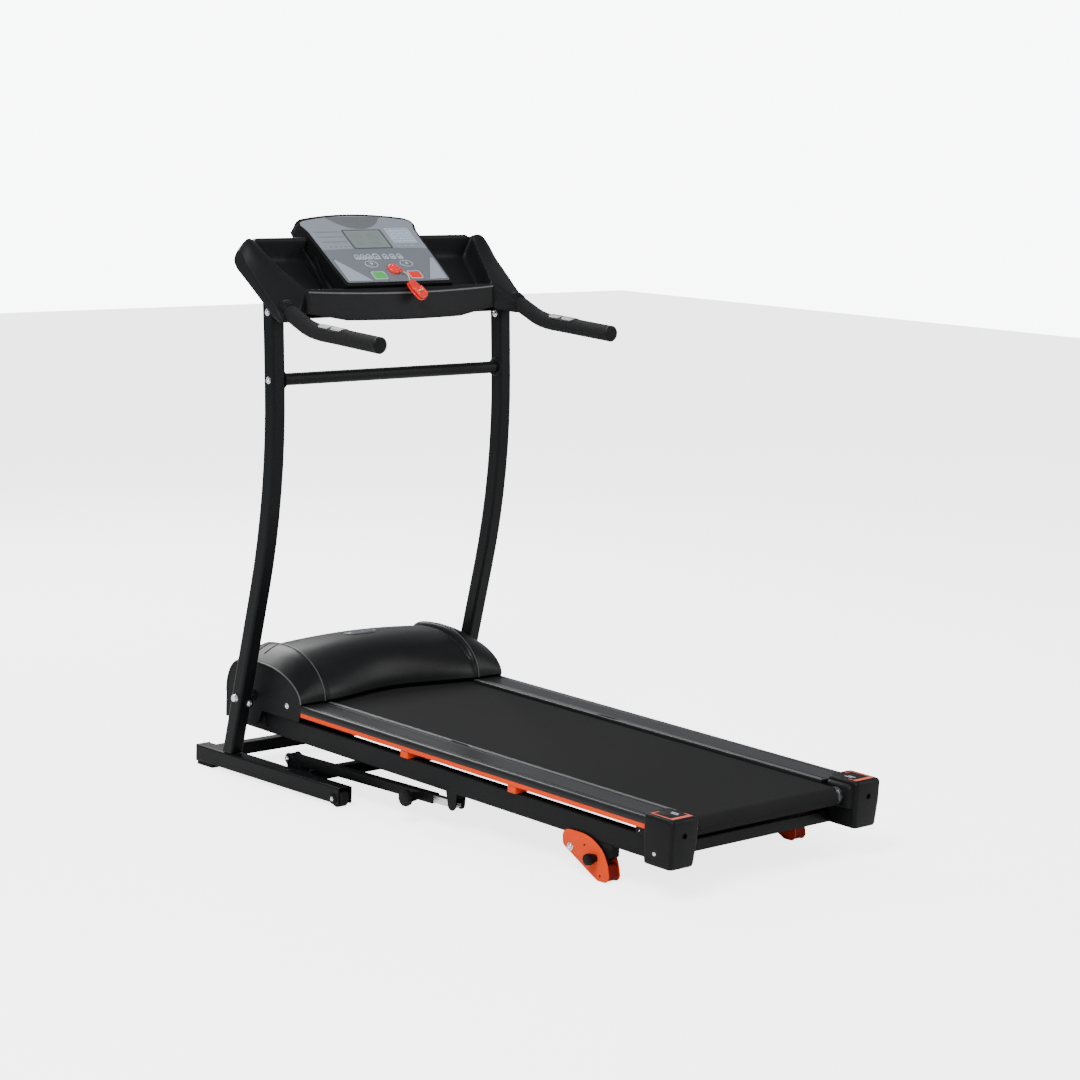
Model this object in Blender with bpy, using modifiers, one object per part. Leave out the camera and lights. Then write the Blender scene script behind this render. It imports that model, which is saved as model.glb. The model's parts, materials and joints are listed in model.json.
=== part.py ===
"""Folding home treadmill, modelled as separate parts.

Metres, +Z up. +Y points to the motor and console, +X is the user's right hand
side, and the origin is on the floor under the middle of the whole machine.
The deck parts are made in the deck's own frame, whose origin is the fold pivot.
The console parts are made in the console's frame: x across, y up the slope of
the display, z out of the display.
"""
import math

import bmesh
import bpy
from mathutils import Matrix, Vector

GAP = 0.0003                 # clearance between pieces that touch

# Base: two foot tubes, two cross tubes, two curved posts
FOOT_X = 0.3475              # centre of each foot tube
FOOT_SIZE = 0.040
FOOT_FRONT = 0.784
FOOT_REAR = 0.237
FOOT_BOTTOM = 0.009
TUBE_WALL = 0.0018
POST_X = 0.350
POST_WIDTH = 0.035
POST_DEPTH = 0.037
POST_TOP = 1.148
POST_LOWER_SLOPE = -0.24     # forward travel for each metre of height
POST_UPPER_SLOPE = 0.05
POST_CORNER = (0.507, 0.695)  # where the two straight legs would meet (y, z)
POST_BEND_RADIUS = 1.70
CROSSBAR_Z = 0.955
CROSSBAR_RADIUS = 0.0145
FRONT_CROSS_Y = 0.752
REAR_CROSS_Y = 0.452
WHEEL_RADIUS = 0.021
WHEEL_Y = 0.256

# Deck, in its own frame: y along the deck, z square to it, origin at the pivot
PIVOT = (0.630, 0.189)       # fold pivot (y, z) in the world
DECK_TILT = math.radians(1.2)
SIDE_X = 0.2875              # centre of each side tube
SIDE_WIDTH = 0.025
SIDE_TOP = -0.033
SIDE_BOTTOM = -0.083
SIDE_FRONT = 0.094
SIDE_REAR = -1.395
REAR_TUBE = (-1.3135, -0.0765)   # middle of the rear frame tube (y, z)
BOARD_X = 0.300
BOARD_TOP = 0.0015
BOARD_BOTTOM = -0.0145
RAIL_INNER = 0.222
RAIL_OUTER = 0.315
RAIL_TOP = 0.010
RAIL_FRONT = -0.1834
CAP_FRONT = -1.328
CAP_REAR = -1.4136
CAP_INNER = 0.243
CAP_OUTER = 0.322
CAP_TOP = 0.019
CAP_BOTTOM = -0.087
ROLLER_RADIUS = 0.019
ROLLER_Z = -0.0173
FRONT_ROLLER_Y = -0.075
REAR_ROLLER_Y = -1.365
BELT_HALF_WIDTH = 0.216
BELT_THICKNESS = 0.0016
MOTOR_Y = 0.030
MOTOR_Z = 0.004
MOTOR_RADIUS = 0.040
MOTOR_PULLEY_RADIUS = 0.012
ROLLER_PULLEY_RADIUS = 0.026
DRIVE_X = -0.238             # middle of the drive belt
CUSHION_PLACES = (-0.557, -0.917)

# Incline feet, world placed
INCLINE_PIVOT = (-0.4675, 0.0565)
INCLINE_PIN = (-0.0765, -0.0084)   # lock pin, from the pivot (y, z)

# Telescopic strut on the left side, world placed
STRUT_X = -0.285
STRUT_BASE = (0.508, 0.056)
STRUT_DECK = (-0.077, 0.0645)
STRUT_OUTER_SIZE = 0.022
STRUT_INNER_SIZE = 0.0165
STRUT_SLEEVE_END = 0.515     # outer tube's far end, from the base pivot
STRUT_KNOB_PLACE = 0.470

# Console, in its own frame
CONSOLE_ORIGIN = (0.487, 1.162)
CONSOLE_TILT = math.radians(37.0)
SHELL_THICKNESS = 0.003
POD_FACE = 0.004
HANDLE_X = 0.354
HANDLE_RADIUS = 0.0135
GRIP_RADIUS = 0.019


# ---------------------------------------------------------------- scene set-up

def clear_scene():
    for item in list(bpy.data.objects):
        bpy.data.objects.remove(item, do_unlink=True)


clear_scene()
PARTS = bpy.data.collections.new("treadmill")
CUTTERS = bpy.data.collections.new("cutters")
bpy.context.scene.collection.children.link(PARTS)
bpy.context.scene.collection.children.link(CUTTERS)


def make_material(name, colour, roughness, metallic=0.0):
    material = bpy.data.materials.new(name)
    material.use_nodes = True
    shader = material.node_tree.nodes["Principled BSDF"]
    shader.inputs["Base Color"].default_value = (*colour, 1.0)
    shader.inputs["Roughness"].default_value = roughness
    shader.inputs["Metallic"].default_value = metallic
    return material


FRAME_PAINT = make_material("frame_paint", (0.012, 0.012, 0.014), 0.45)
BLACK_PLASTIC = make_material("black_plastic", (0.015, 0.015, 0.017), 0.5)
SOFT_BLACK = make_material("soft_black", (0.012, 0.012, 0.012), 0.85)
BELT_BLACK = make_material("belt_black", (0.035, 0.035, 0.036), 0.9)
ORANGE = make_material("orange", (0.90, 0.14, 0.025), 0.45)
ZINC = make_material("zinc", (0.62, 0.64, 0.66), 0.3, 1.0)
STEEL = make_material("steel", (0.45, 0.46, 0.48), 0.35, 1.0)
BOARD_WOOD = make_material("board_wood", (0.10, 0.08, 0.06), 0.6)
FACE_GREY = make_material("face_grey", (0.26, 0.28, 0.32), 0.4)
CIRCUIT_GREEN = make_material("circuit_green", (0.02, 0.16, 0.06), 0.5)
RED = make_material("red", (0.80, 0.03, 0.02), 0.35)
GREEN = make_material("green", (0.05, 0.38, 0.06), 0.4)
BEIGE = make_material("beige", (0.62, 0.50, 0.32), 0.7)


def make_empty(name, location, tilt=0.0):
    empty = bpy.data.objects.new(name, None)
    empty.location = location
    empty.rotation_euler = (tilt, 0.0, 0.0)
    PARTS.objects.link(empty)
    return empty


DECK = make_empty("deck_hinge", (0.0, *PIVOT), DECK_TILT)
CONSOLE = make_empty("console_frame", (0.0, *CONSOLE_ORIGIN), CONSOLE_TILT)
STRUT_TILT = math.atan2(STRUT_DECK[1] - STRUT_BASE[1], STRUT_BASE[0] - STRUT_DECK[0])
STRUT = make_empty("strut_hinge", (STRUT_X, *STRUT_BASE), -STRUT_TILT)


# ------------------------------------------------------------- shape functions

def add_object(name, mesh, material, parent=None, collection=PARTS):
    piece = bpy.data.objects.new(name, mesh)
    mesh.materials.clear()
    mesh.materials.append(material)
    collection.objects.link(piece)
    piece.parent = parent
    return piece


def smooth(piece, angle=35.0):
    piece.data.shade_smooth()
    piece.data.set_sharp_from_angle(angle=math.radians(angle))
    return piece


def add_bevel(piece, width, segments=2, angle=40.0):
    bevel = piece.modifiers.new("rounded_edges", "BEVEL")
    bevel.width = width
    bevel.segments = segments
    bevel.limit_method = "ANGLE"
    bevel.angle_limit = math.radians(angle)
    return piece


def make_box(name, low, high, material=BLACK_PLASTIC, parent=None, bevel=0.0,
             collection=PARTS):
    """A box between two corners, its own origin at its middle."""
    low, high = Vector(low), Vector(high)
    shape = bmesh.new()
    bmesh.ops.create_cube(shape, size=1.0)
    bmesh.ops.scale(shape, vec=high - low, verts=shape.verts)
    mesh = bpy.data.meshes.new(name)
    shape.to_mesh(mesh)
    shape.free()
    piece = add_object(name, mesh, material, parent, collection)
    piece.location = (low + high) / 2
    if bevel:
        add_bevel(piece, bevel)
    return piece


def make_rod(name, start, end, radius, material=STEEL, parent=None, segments=24,
             end_radius=None, bevel=0.0, collection=PARTS):
    """A cylinder or cone from start to end, its origin at the start."""
    start, end = Vector(start), Vector(end)
    run = end - start
    shape = bmesh.new()
    bmesh.ops.create_cone(shape, cap_ends=True, segments=segments, radius1=radius,
                          radius2=radius if end_radius is None else end_radius,
                          depth=run.length)
    bmesh.ops.translate(shape, vec=(0, 0, run.length / 2), verts=shape.verts)
    mesh = bpy.data.meshes.new(name)
    shape.to_mesh(mesh)
    shape.free()
    piece = smooth(add_object(name, mesh, material, parent, collection))
    piece.location = start
    piece.rotation_euler = run.to_track_quat("Z", "Y").to_euler()
    if bevel:
        add_bevel(piece, bevel)
    return piece


def turned(name, profile, base, direction, material, parent=None, steps=24):
    """A turned piece: profile is (radius, height) from the top down to the base."""
    mesh = bpy.data.meshes.new(name)
    points = [(radius, 0.0, height) for radius, height in profile]
    edges = [(i, i + 1) for i in range(len(points) - 1)]
    mesh.from_pydata(points, edges, [])
    piece = add_object(name, mesh, material, parent)
    screw = piece.modifiers.new("turn", "SCREW")
    screw.steps = steps
    screw.render_steps = steps
    screw.use_merge_vertices = True
    screw.merge_threshold = 0.00002
    piece.location = base
    piece.rotation_euler = Vector(direction).to_track_quat("Z", "Y").to_euler()
    return piece


def mesh_from_curve(name, curve, material, parent, collection, turn=None):
    """Turns a curve into a welded mesh object, so that it can be cut."""
    holder = bpy.data.objects.new(name + "_curve", curve)
    PARTS.objects.link(holder)
    graph = bpy.context.evaluated_depsgraph_get()
    mesh = bpy.data.meshes.new_from_object(holder.evaluated_get(graph))
    bpy.data.objects.remove(holder)
    shape = bmesh.new()
    shape.from_mesh(mesh)
    bmesh.ops.remove_doubles(shape, verts=shape.verts, dist=0.00002)
    if turn is not None:
        bmesh.ops.transform(shape, matrix=turn, verts=shape.verts)
    bmesh.ops.recalc_face_normals(shape, faces=shape.faces)
    shape.to_mesh(mesh)
    shape.free()
    mesh.name = name
    return add_object(name, mesh, material, parent, collection)


TO_SIDE = Matrix(((0, 0, 1, 0), (1, 0, 0, 0), (0, 1, 0, 0), (0, 0, 0, 1)))
TO_FRONT = Matrix(((1, 0, 0, 0), (0, 0, -1, 0), (0, 1, 0, 0), (0, 0, 0, 1)))


def make_plate(name, outlines, low, high, turn=None, material=FRAME_PAINT, parent=None,
               bevel=0.0, collection=PARTS):
    """Flat outlines (an outer one, then any holes) given a thickness from low to high.

    With turn TO_SIDE an outline is (y, z) and the thickness runs along x; with
    TO_FRONT an outline is (x, z) and the thickness runs along -y.
    """
    curve = bpy.data.curves.new(name, "CURVE")
    curve.dimensions = "2D"
    curve.fill_mode = "BOTH"
    curve.extrude = (high - low) / 2
    for outline in outlines:
        line = curve.splines.new("POLY")
        line.points.add(len(outline) - 1)
        for point, (a, b) in zip(line.points, outline):
            point.co = (a, b, 0.0, 1.0)
        line.use_cyclic_u = True
    shift = Matrix.Translation((0, 0, (low + high) / 2))
    matrix = shift if turn is None else turn @ shift
    piece = mesh_from_curve(name, curve, material, parent, collection, matrix)
    if bevel:
        add_bevel(piece, bevel)
    return piece


def make_tube(name, points, radius, material, parent=None, resolution=4, collection=PARTS):
    """A round bar along a smooth line of points."""
    curve = bpy.data.curves.new(name, "CURVE")
    curve.dimensions = "3D"
    curve.bevel_depth = radius
    curve.bevel_resolution = resolution
    curve.use_fill_caps = True
    line = curve.splines.new("POLY")
    line.points.add(len(points) - 1)
    for point, place in zip(line.points, points):
        point.co = (*place, 1.0)
    return smooth(mesh_from_curve(name, curve, material, parent, collection))


def rounded_rectangle(centre, width, height, corner, steps=2):
    """Outline of a rectangle with round corners, anticlockwise."""
    points = []
    for quarter in range(4):
        angle = quarter * math.pi / 2
        sign_x = 1 if quarter in (0, 3) else -1
        sign_y = 1 if quarter in (0, 1) else -1
        middle = (centre[0] + sign_x * (width / 2 - corner),
                  centre[1] + sign_y * (height / 2 - corner))
        for step in range(steps + 1):
            turn = angle + step * math.pi / 2 / steps
            points.append((middle[0] + corner * math.cos(turn),
                           middle[1] + corner * math.sin(turn)))
    return points


def circle(centre, radius, steps=20):
    return [(centre[0] + radius * math.cos(2 * math.pi * i / steps),
             centre[1] + radius * math.sin(2 * math.pi * i / steps))
            for i in range(steps)]


def arc(centre, radius, start, end, steps):
    """Points along an arc; the angles are in degrees."""
    angles = [math.radians(start + (end - start) * i / steps) for i in range(steps + 1)]
    return [(centre[0] + radius * math.cos(a), centre[1] + radius * math.sin(a))
            for a in angles]


def hide_cutter(cutter):
    cutter.hide_render = True
    cutter.display_type = "WIRE"
    return cutter


def cut(piece, cutter, operation="DIFFERENCE"):
    """Cuts one piece with another, or joins them, and keeps the result as its mesh."""
    boolean = piece.modifiers.new(operation.lower(), "BOOLEAN")
    boolean.operation = operation
    boolean.object = cutter
    return hide_cutter(cutter)


def join(piece, addition):
    cut(piece, addition, "UNION")
    return piece


def loft(name, sections, material, parent=None, closed=False, caps=False,
         collection=PARTS):
    """Skins a row of sections that have the same number of points."""
    shape = bmesh.new()
    rows = [[shape.verts.new(point) for point in section] for section in sections]
    count = len(rows[0])
    for first, second in zip(rows, rows[1:]):
        for i in range(count if closed else count - 1):
            j = (i + 1) % count
            shape.faces.new((first[i], first[j], second[j], second[i]))
    if caps:
        shape.faces.new(rows[0])
        shape.faces.new(list(reversed(rows[-1])))
    bmesh.ops.recalc_face_normals(shape, faces=shape.faces)
    mesh = bpy.data.meshes.new(name)
    shape.to_mesh(mesh)
    shape.free()
    return add_object(name, mesh, material, parent, collection)


def add_shell(piece, thickness, offset=-1.0):
    solidify = piece.modifiers.new("wall", "SOLIDIFY")
    solidify.thickness = thickness
    solidify.offset = offset
    return piece


SIDES = (("left", -1), ("right", 1))


# -------------------------------------------------------------------- the base

def post_line():
    """Centre line of a post: two straight legs joined by a wide arc, as (y, z)."""
    lower = math.atan(POST_LOWER_SLOPE)
    upper = math.atan(POST_UPPER_SLOPE)
    reach = POST_BEND_RADIUS * math.tan((upper - lower) / 2)
    corner_y, corner_z = POST_CORNER
    start = (corner_y - reach * math.sin(lower), corner_z - reach * math.cos(lower))
    centre = (start[0] + POST_BEND_RADIUS * math.cos(lower),
              start[1] - POST_BEND_RADIUS * math.sin(lower))
    bottom = FOOT_BOTTOM + FOOT_SIZE
    points = [(corner_y + (bottom - corner_z) * POST_LOWER_SLOPE, bottom)]
    for step in range(9):
        angle = lower + (upper - lower) * step / 8
        points.append((centre[0] - POST_BEND_RADIUS * math.cos(angle),
                       centre[1] + POST_BEND_RADIUS * math.sin(angle)))
    points.append((corner_y + (POST_TOP - corner_z) * POST_UPPER_SLOPE, POST_TOP))
    return points


POST_LINE = post_line()


def post_y(height):
    """How far forward the post's centre line is at a height."""
    for (y0, z0), (y1, z1) in zip(POST_LINE, POST_LINE[1:]):
        if z0 <= height <= z1:
            return y0 + (y1 - y0) * (height - z0) / (z1 - z0)
    raise ValueError("height is off the post")


def make_base():
    inner = FOOT_SIZE - 2 * TUBE_WALL
    foot_z = FOOT_BOTTOM + FOOT_SIZE / 2
    for side, sign in SIDES:
        outlines = [rounded_rectangle((sign * FOOT_X, foot_z), FOOT_SIZE, FOOT_SIZE, 0.004),
                    rounded_rectangle((sign * FOOT_X, foot_z), inner, inner, 0.0025)]
        foot = make_plate(f"{side}_foot_tube", outlines, -FOOT_FRONT + 0.004, -FOOT_REAR,
                          TO_FRONT)
        cut(foot, make_box(f"{side}_wheel_slot", (sign * FOOT_X - 0.0145, FOOT_REAR - 0.01, 0.0),
                           (sign * FOOT_X + 0.0145, WHEEL_Y + 0.026, 0.02),
                           collection=CUTTERS))
        cut(foot, make_rod(f"{side}_axle_hole", (sign * FOOT_X - 0.03, WHEEL_Y, WHEEL_RADIUS),
                           (sign * FOOT_X + 0.03, WHEEL_Y, WHEEL_RADIUS), 0.0043,
                           segments=12, collection=CUTTERS))
        make_wheel(side, sign)
        make_floor_pad(side, sign)
        make_post(side, sign)
    make_cross_tubes()


def make_wheel(side, sign):
    """A transport wheel with its pin, in the open rear end of a foot tube."""
    half = 0.0125
    pin = FOOT_SIZE / 2 + 0.0018
    profile = [(0.0, pin), (0.0040, pin), (0.0040, half + 0.002), (0.009, half + 0.001),
               (0.0185, half), (WHEEL_RADIUS, half - 0.003), (WHEEL_RADIUS, -half + 0.003),
               (0.0185, -half), (0.009, -half - 0.001), (0.0040, -half - 0.002),
               (0.0040, -pin), (0.0, -pin)]
    turned(f"{side}_wheel", profile, (sign * FOOT_X, WHEEL_Y, WHEEL_RADIUS), (1, 0, 0),
           SOFT_BLACK, steps=28)


def make_floor_pad(side, sign):
    """End plug of a foot tube, with the rubber pad that stands on the floor."""
    pad = make_box(f"{side}_floor_pad", (sign * FOOT_X - 0.020, FOOT_FRONT - 0.0037, FOOT_BOTTOM),
                   (sign * FOOT_X + 0.020, FOOT_FRONT, FOOT_BOTTOM + FOOT_SIZE), SOFT_BLACK)
    neck = make_box(f"{side}_plug", (sign * FOOT_X - 0.017, FOOT_FRONT - 0.022, FOOT_BOTTOM + 0.003),
                    (sign * FOOT_X + 0.017, FOOT_FRONT - 0.002, FOOT_BOTTOM + FOOT_SIZE - 0.003),
                    SOFT_BLACK, collection=CUTTERS)
    foot = make_box(f"{side}_pad_foot", (sign * FOOT_X - 0.016, FOOT_FRONT - 0.060, 0.0),
                    (sign * FOOT_X + 0.016, FOOT_FRONT - 0.001, FOOT_BOTTOM - GAP), SOFT_BLACK,
                    collection=CUTTERS)
    link = make_box(f"{side}_pad_link", (sign * FOOT_X - 0.016, FOOT_FRONT - 0.0035, 0.002),
                    (sign * FOOT_X + 0.016, FOOT_FRONT - 0.001, FOOT_BOTTOM + 0.004), SOFT_BLACK,
                    collection=CUTTERS)
    for addition in (neck, link, foot):
        join(pad, addition)


def make_post(side, sign):
    """A curved square tube, drilled for the fold pivot."""
    def outline(half, overrun):
        points = list(POST_LINE)
        if overrun:
            (y0, z0), (y1, z1) = points[0], points[-1]
            points[0] = (y0 - overrun * POST_LOWER_SLOPE, z0 - overrun)
            points[-1] = (y1 + overrun * POST_UPPER_SLOPE, z1 + overrun)
        front = [(y + half, z) for y, z in points]
        rear = [(y - half, z) for y, z in reversed(points)]
        return front + rear
    low = sign * POST_X - POST_WIDTH / 2
    high = sign * POST_X + POST_WIDTH / 2
    post = make_plate(f"{side}_post", [outline(POST_DEPTH / 2, 0.0)], low, high, TO_SIDE,
                      bevel=0.005)
    post.location.z = GAP
    cut(post, make_plate(f"{side}_post_bore", [outline(POST_DEPTH / 2 - TUBE_WALL, 0.01)],
                         low + TUBE_WALL, high - TUBE_WALL, TO_SIDE, collection=CUTTERS))
    cut(post, make_rod(f"{side}_pivot_hole", (sign * 0.32, *PIVOT), (sign * 0.38, *PIVOT),
                       0.0063, segments=16, collection=CUTTERS))
    bolt = make_rod(f"{side}_pivot_bolt", (sign * 0.2905, *PIVOT), (sign * 0.3735, *PIVOT),
                    0.0060, ZINC, segments=20)
    head = make_rod(f"{side}_pivot_head", (sign * (POST_X + POST_WIDTH / 2 + GAP), *PIVOT),
                    (sign * 0.3738, *PIVOT), 0.0105, ZINC, segments=20, end_radius=0.008,
                    collection=CUTTERS)
    join(bolt, head)


def make_cross_tubes():
    """The two floor-level cross tubes and the round bar between the posts."""
    inner_face = FOOT_X - FOOT_SIZE / 2 - GAP
    outlines = [rounded_rectangle((FRONT_CROSS_Y, 0.031), 0.030, 0.030, 0.003),
                rounded_rectangle((FRONT_CROSS_Y, 0.031), 0.0264, 0.0264, 0.002)]
    make_plate("front_cross_tube", outlines, -inner_face, inner_face, TO_SIDE)
    rear = make_plate("rear_cross_tube",
                      [rounded_rectangle((REAR_CROSS_Y, 0.025), 0.030, 0.026, 0.003)],
                      -inner_face, inner_face, TO_SIDE)
    cut(rear, make_plate("rear_cross_bore",
                         [rounded_rectangle((REAR_CROSS_Y, 0.025), 0.0264, 0.0224, 0.002)],
                         -inner_face - 0.01, inner_face + 0.01, TO_SIDE, collection=CUTTERS))
    base_y, base_z = STRUT_BASE
    lug = [(REAR_CROSS_Y + 0.006, 0.030), (REAR_CROSS_Y + 0.0135, 0.014),
           (base_y + 0.004, 0.034)]
    lug += arc(STRUT_BASE, 0.0145, -60, 120, 8)
    lug += [(REAR_CROSS_Y + 0.022, base_z - 0.002)]
    for name, low, high in (("outer", STRUT_X - 0.0150, STRUT_X - 0.0115),
                            ("inner", STRUT_X + 0.0115, STRUT_X + 0.0150)):
        join(rear, make_plate(f"strut_lug_{name}", [lug], low, high, TO_SIDE,
                              collection=CUTTERS))
    join(rear, make_rod("strut_base_pin", (STRUT_X - 0.0195, base_y, base_z),
                        (STRUT_X + 0.0175, base_y, base_z), 0.0042, ZINC, segments=16,
                        collection=CUTTERS))
    bar_y = post_y(CROSSBAR_Z)
    post_face = POST_X - POST_WIDTH / 2 - GAP
    ring = [circle((bar_y, CROSSBAR_Z), CROSSBAR_RADIUS, 24),
            circle((bar_y, CROSSBAR_Z), CROSSBAR_RADIUS - TUBE_WALL, 24)]
    smooth(make_plate("crossbar", ring, -post_face, post_face, TO_SIDE))


# -------------------------------------------------------------------- the deck

def make_frame():
    """Side tubes with their welded plates, the rear cross tube and the motor bed."""
    middle = (SIDE_TOP + SIDE_BOTTOM) / 2
    height = SIDE_TOP - SIDE_BOTTOM
    for side, sign in SIDES:
        outline = rounded_rectangle((sign * SIDE_X, middle), SIDE_WIDTH, height, 0.004)
        bore = rounded_rectangle((sign * SIDE_X, middle), SIDE_WIDTH - 2 * TUBE_WALL,
                                 height - 2 * TUBE_WALL, 0.0025)
        tube = make_plate(f"{side}_side_tube", [outline], -SIDE_FRONT, -SIDE_REAR, TO_FRONT,
                          parent=DECK)
        cut(tube, make_plate(f"{side}_side_bore", [bore], -SIDE_FRONT - 0.01, -SIDE_REAR + 0.01,
                             TO_FRONT, parent=DECK, collection=CUTTERS))
        lug = [(-0.040, -0.070), (0.040, -0.070)] + arc((0, 0), 0.022, 0, 180, 8)
        join(tube, make_plate(f"{side}_pivot_lug", [lug], sign * 0.3015 - 0.0025,
                              sign * 0.3015 + 0.0025, TO_SIDE, parent=DECK,
                              collection=CUTTERS))
        cut(tube, make_rod(f"{side}_lug_hole", (sign * 0.28, *PIVOT), (sign * 0.33, *PIVOT),
                           0.0063, segments=16, collection=CUTTERS))
        make_incline_bracket(tube, side, sign)
        if side == "left":
            make_strut_bracket(tube)
    inner_face = SIDE_X - SIDE_WIDTH / 2 - GAP
    ring = [rounded_rectangle(REAR_TUBE, 0.026, 0.028, 0.003),
            rounded_rectangle(REAR_TUBE, 0.0224, 0.0244, 0.002)]
    make_plate("rear_frame_tube", ring, -inner_face, inner_face, TO_SIDE, parent=DECK)
    bed_outline = [(-0.150, -0.083), (0.094, -0.083), (0.094, -0.050), (0.091, -0.050),
                   (0.091, -0.080), (-0.147, -0.080), (-0.147, -0.062), (-0.150, -0.062)]
    bed = make_plate("motor_bed", [bed_outline], -inner_face, inner_face, TO_SIDE,
                     parent=DECK)
    saddle_top = MOTOR_Z - MOTOR_RADIUS + 0.008
    saddle = make_box("motor_saddle", (-0.13, MOTOR_Y - 0.030, -0.081),
                      (0.03, MOTOR_Y + 0.030, saddle_top), FRAME_PAINT, DECK,
                      collection=CUTTERS)
    join(bed, saddle)
    cut(bed, make_rod("saddle_seat", (-0.14, MOTOR_Y, MOTOR_Z), (0.04, MOTOR_Y, MOTOR_Z),
                      MOTOR_RADIUS + GAP, parent=DECK, segments=32, collection=CUTTERS))


def make_incline_bracket(tube, side, sign):
    """Welded tab under a side tube that carries an incline foot."""
    pivot_y, pivot_z = INCLINE_PIVOT
    low = sign * SIDE_X - 0.0115
    high = sign * SIDE_X + 0.0115
    outline = around_pivot([(0.118, 0.0253), (0.118, -0.0007), (0.095, -0.0150),
                            (0.060, -0.0150), (0.004, -0.0092), (-0.006, -0.0080),
                            (-0.014, 0.004), (-0.016, 0.0281)])
    join(tube, make_plate(f"{side}_incline_tab", [outline], low, high, TO_SIDE,
                          collection=CUTTERS))
    for name, (y, z), radius in (("pivot", (pivot_y, pivot_z), 0.0053),
                                 ("lock", (pivot_y + INCLINE_PIN[0],
                                           pivot_z + INCLINE_PIN[1]), 0.0043)):
        cut(tube, make_rod(f"{side}_{name}_bore", (sign * 0.25, y, z), (sign * 0.33, y, z),
                           radius, segments=14, collection=CUTTERS))


def make_strut_bracket(tube):
    """Two ears under the left side tube; the strut's end lies between them."""
    y, z = STRUT_DECK
    outline = [(y - 0.016, 0.092), (y + 0.020, 0.093), (y + 0.013, z)]
    outline += arc(STRUT_DECK, 0.013, -10, -170, 7)
    for name, low, high in (("outer", STRUT_X - 0.0145, STRUT_X - 0.0115),
                            ("inner", STRUT_X + 0.0115, STRUT_X + 0.0145)):
        join(tube, make_plate(f"deck_ear_{name}", [outline], low, high, TO_SIDE,
                              collection=CUTTERS))
    join(tube, make_box("deck_ear_web", (STRUT_X - 0.0145, y - 0.015, 0.0855),
                        (STRUT_X + 0.0145, y + 0.018, 0.0935), FRAME_PAINT,
                        collection=CUTTERS))


def make_running_gear():
    """Deck board, belt, rollers, motor, drive belt and electrics."""
    make_box("deck_board", (-BOARD_X, -1.3265, BOARD_BOTTOM), (BOARD_X, -0.110, BOARD_TOP),
             BOARD_WOOD, DECK, bevel=0.001)
    outer = ROLLER_RADIUS + GAP + BELT_THICKNESS
    make_plate("running_belt", [loop_outline(outer), loop_outline(ROLLER_RADIUS + GAP)],
               -BELT_HALF_WIDTH, BELT_HALF_WIDTH, TO_SIDE, BELT_BLACK, DECK)
    spindle = 0.0055
    rear = [(0.0, 0.292), (spindle, 0.292), (spindle, 0.2385), (ROLLER_RADIUS - 0.002, 0.2375),
            (ROLLER_RADIUS, 0.2355), (ROLLER_RADIUS, -0.2355), (ROLLER_RADIUS - 0.002, -0.2375),
            (spindle, -0.2385), (spindle, -0.292), (0.0, -0.292)]
    smooth(turned("rear_roller", rear, (0, REAR_ROLLER_Y, ROLLER_Z), (1, 0, 0), STEEL, DECK, 28))
    half = 0.009
    near = DRIVE_X + half
    far = DRIVE_X - half
    front = [(0.0, 0.2745), (spindle, 0.2745), (spindle, 0.2245),
             (ROLLER_RADIUS, 0.2225), (ROLLER_RADIUS, near + 0.004),
             (spindle, near + 0.003), (spindle, near), (ROLLER_PULLEY_RADIUS, near),
             (ROLLER_PULLEY_RADIUS, far), (spindle, far), (spindle, -0.2745), (0.0, -0.2745)]
    turned("front_roller", front, (0, FRONT_ROLLER_Y, ROLLER_Z), (1, 0, 0), STEEL, DECK, 28)
    body = [(0.0, 0.020), (MOTOR_RADIUS - 0.004, 0.020), (MOTOR_RADIUS, 0.014),
            (MOTOR_RADIUS, -0.114), (MOTOR_RADIUS - 0.004, -0.120), (0.0, -0.120)]
    motor = turned("motor", body, (0, MOTOR_Y, MOTOR_Z), (1, 0, 0), FRAME_PAINT, DECK, 32)
    cut(motor, make_rod("motor_shaft_bore", (-0.13, MOTOR_Y, MOTOR_Z),
                        (-0.02, MOTOR_Y, MOTOR_Z), 0.0064, parent=DECK, segments=20,
                        collection=CUTTERS))
    rotor = [(0.0, -0.030), (0.006, -0.030), (0.006, -0.124), (0.034, -0.128),
             (0.034, -0.150), (0.008, -0.152), (0.008, near + 0.003),
             (MOTOR_PULLEY_RADIUS + 0.002, near + 0.002), (MOTOR_PULLEY_RADIUS, near),
             (MOTOR_PULLEY_RADIUS, far), (MOTOR_PULLEY_RADIUS + 0.002, far - 0.002), (0.0, far - 0.002)]
    turned("motor_pulley", rotor, (0, MOTOR_Y, MOTOR_Z), (1, 0, 0), STEEL, DECK, 28)
    make_plate("drive_belt", [pulley_outline(0.0030), pulley_outline(GAP)], far + 0.001,
               near - 0.001, TO_SIDE, SOFT_BLACK, DECK)
    board = make_box("controller_board", (0.075, -0.020, -0.070), (0.235, 0.080, -0.068),
                     CIRCUIT_GREEN, DECK)
    for name, low, high in (("heat_sink", (0.085, 0.050, -0.069), (0.225, 0.074, -0.030)),
                            ("capacitor", (0.095, -0.010, -0.069), (0.122, 0.020, -0.035)),
                            ("relay", (0.150, -0.012, -0.069), (0.178, 0.010, -0.048)),
                            ("stand_a", (0.080, -0.015, -0.0797), (0.090, -0.005, -0.0695)),
                            ("stand_b", (0.220, 0.065, -0.0797), (0.230, 0.075, -0.0695))):
        join(board, make_box(name, low, high, CIRCUIT_GREEN, DECK, collection=CUTTERS))


def loop_outline(radius, steps=12):
    """Side outline of a belt round both rollers, as (y, z)."""
    front = arc((FRONT_ROLLER_Y, ROLLER_Z), radius, -90, 90, steps)
    rear = arc((REAR_ROLLER_Y, ROLLER_Z), radius, 90, 270, steps)
    return front + rear


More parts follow.
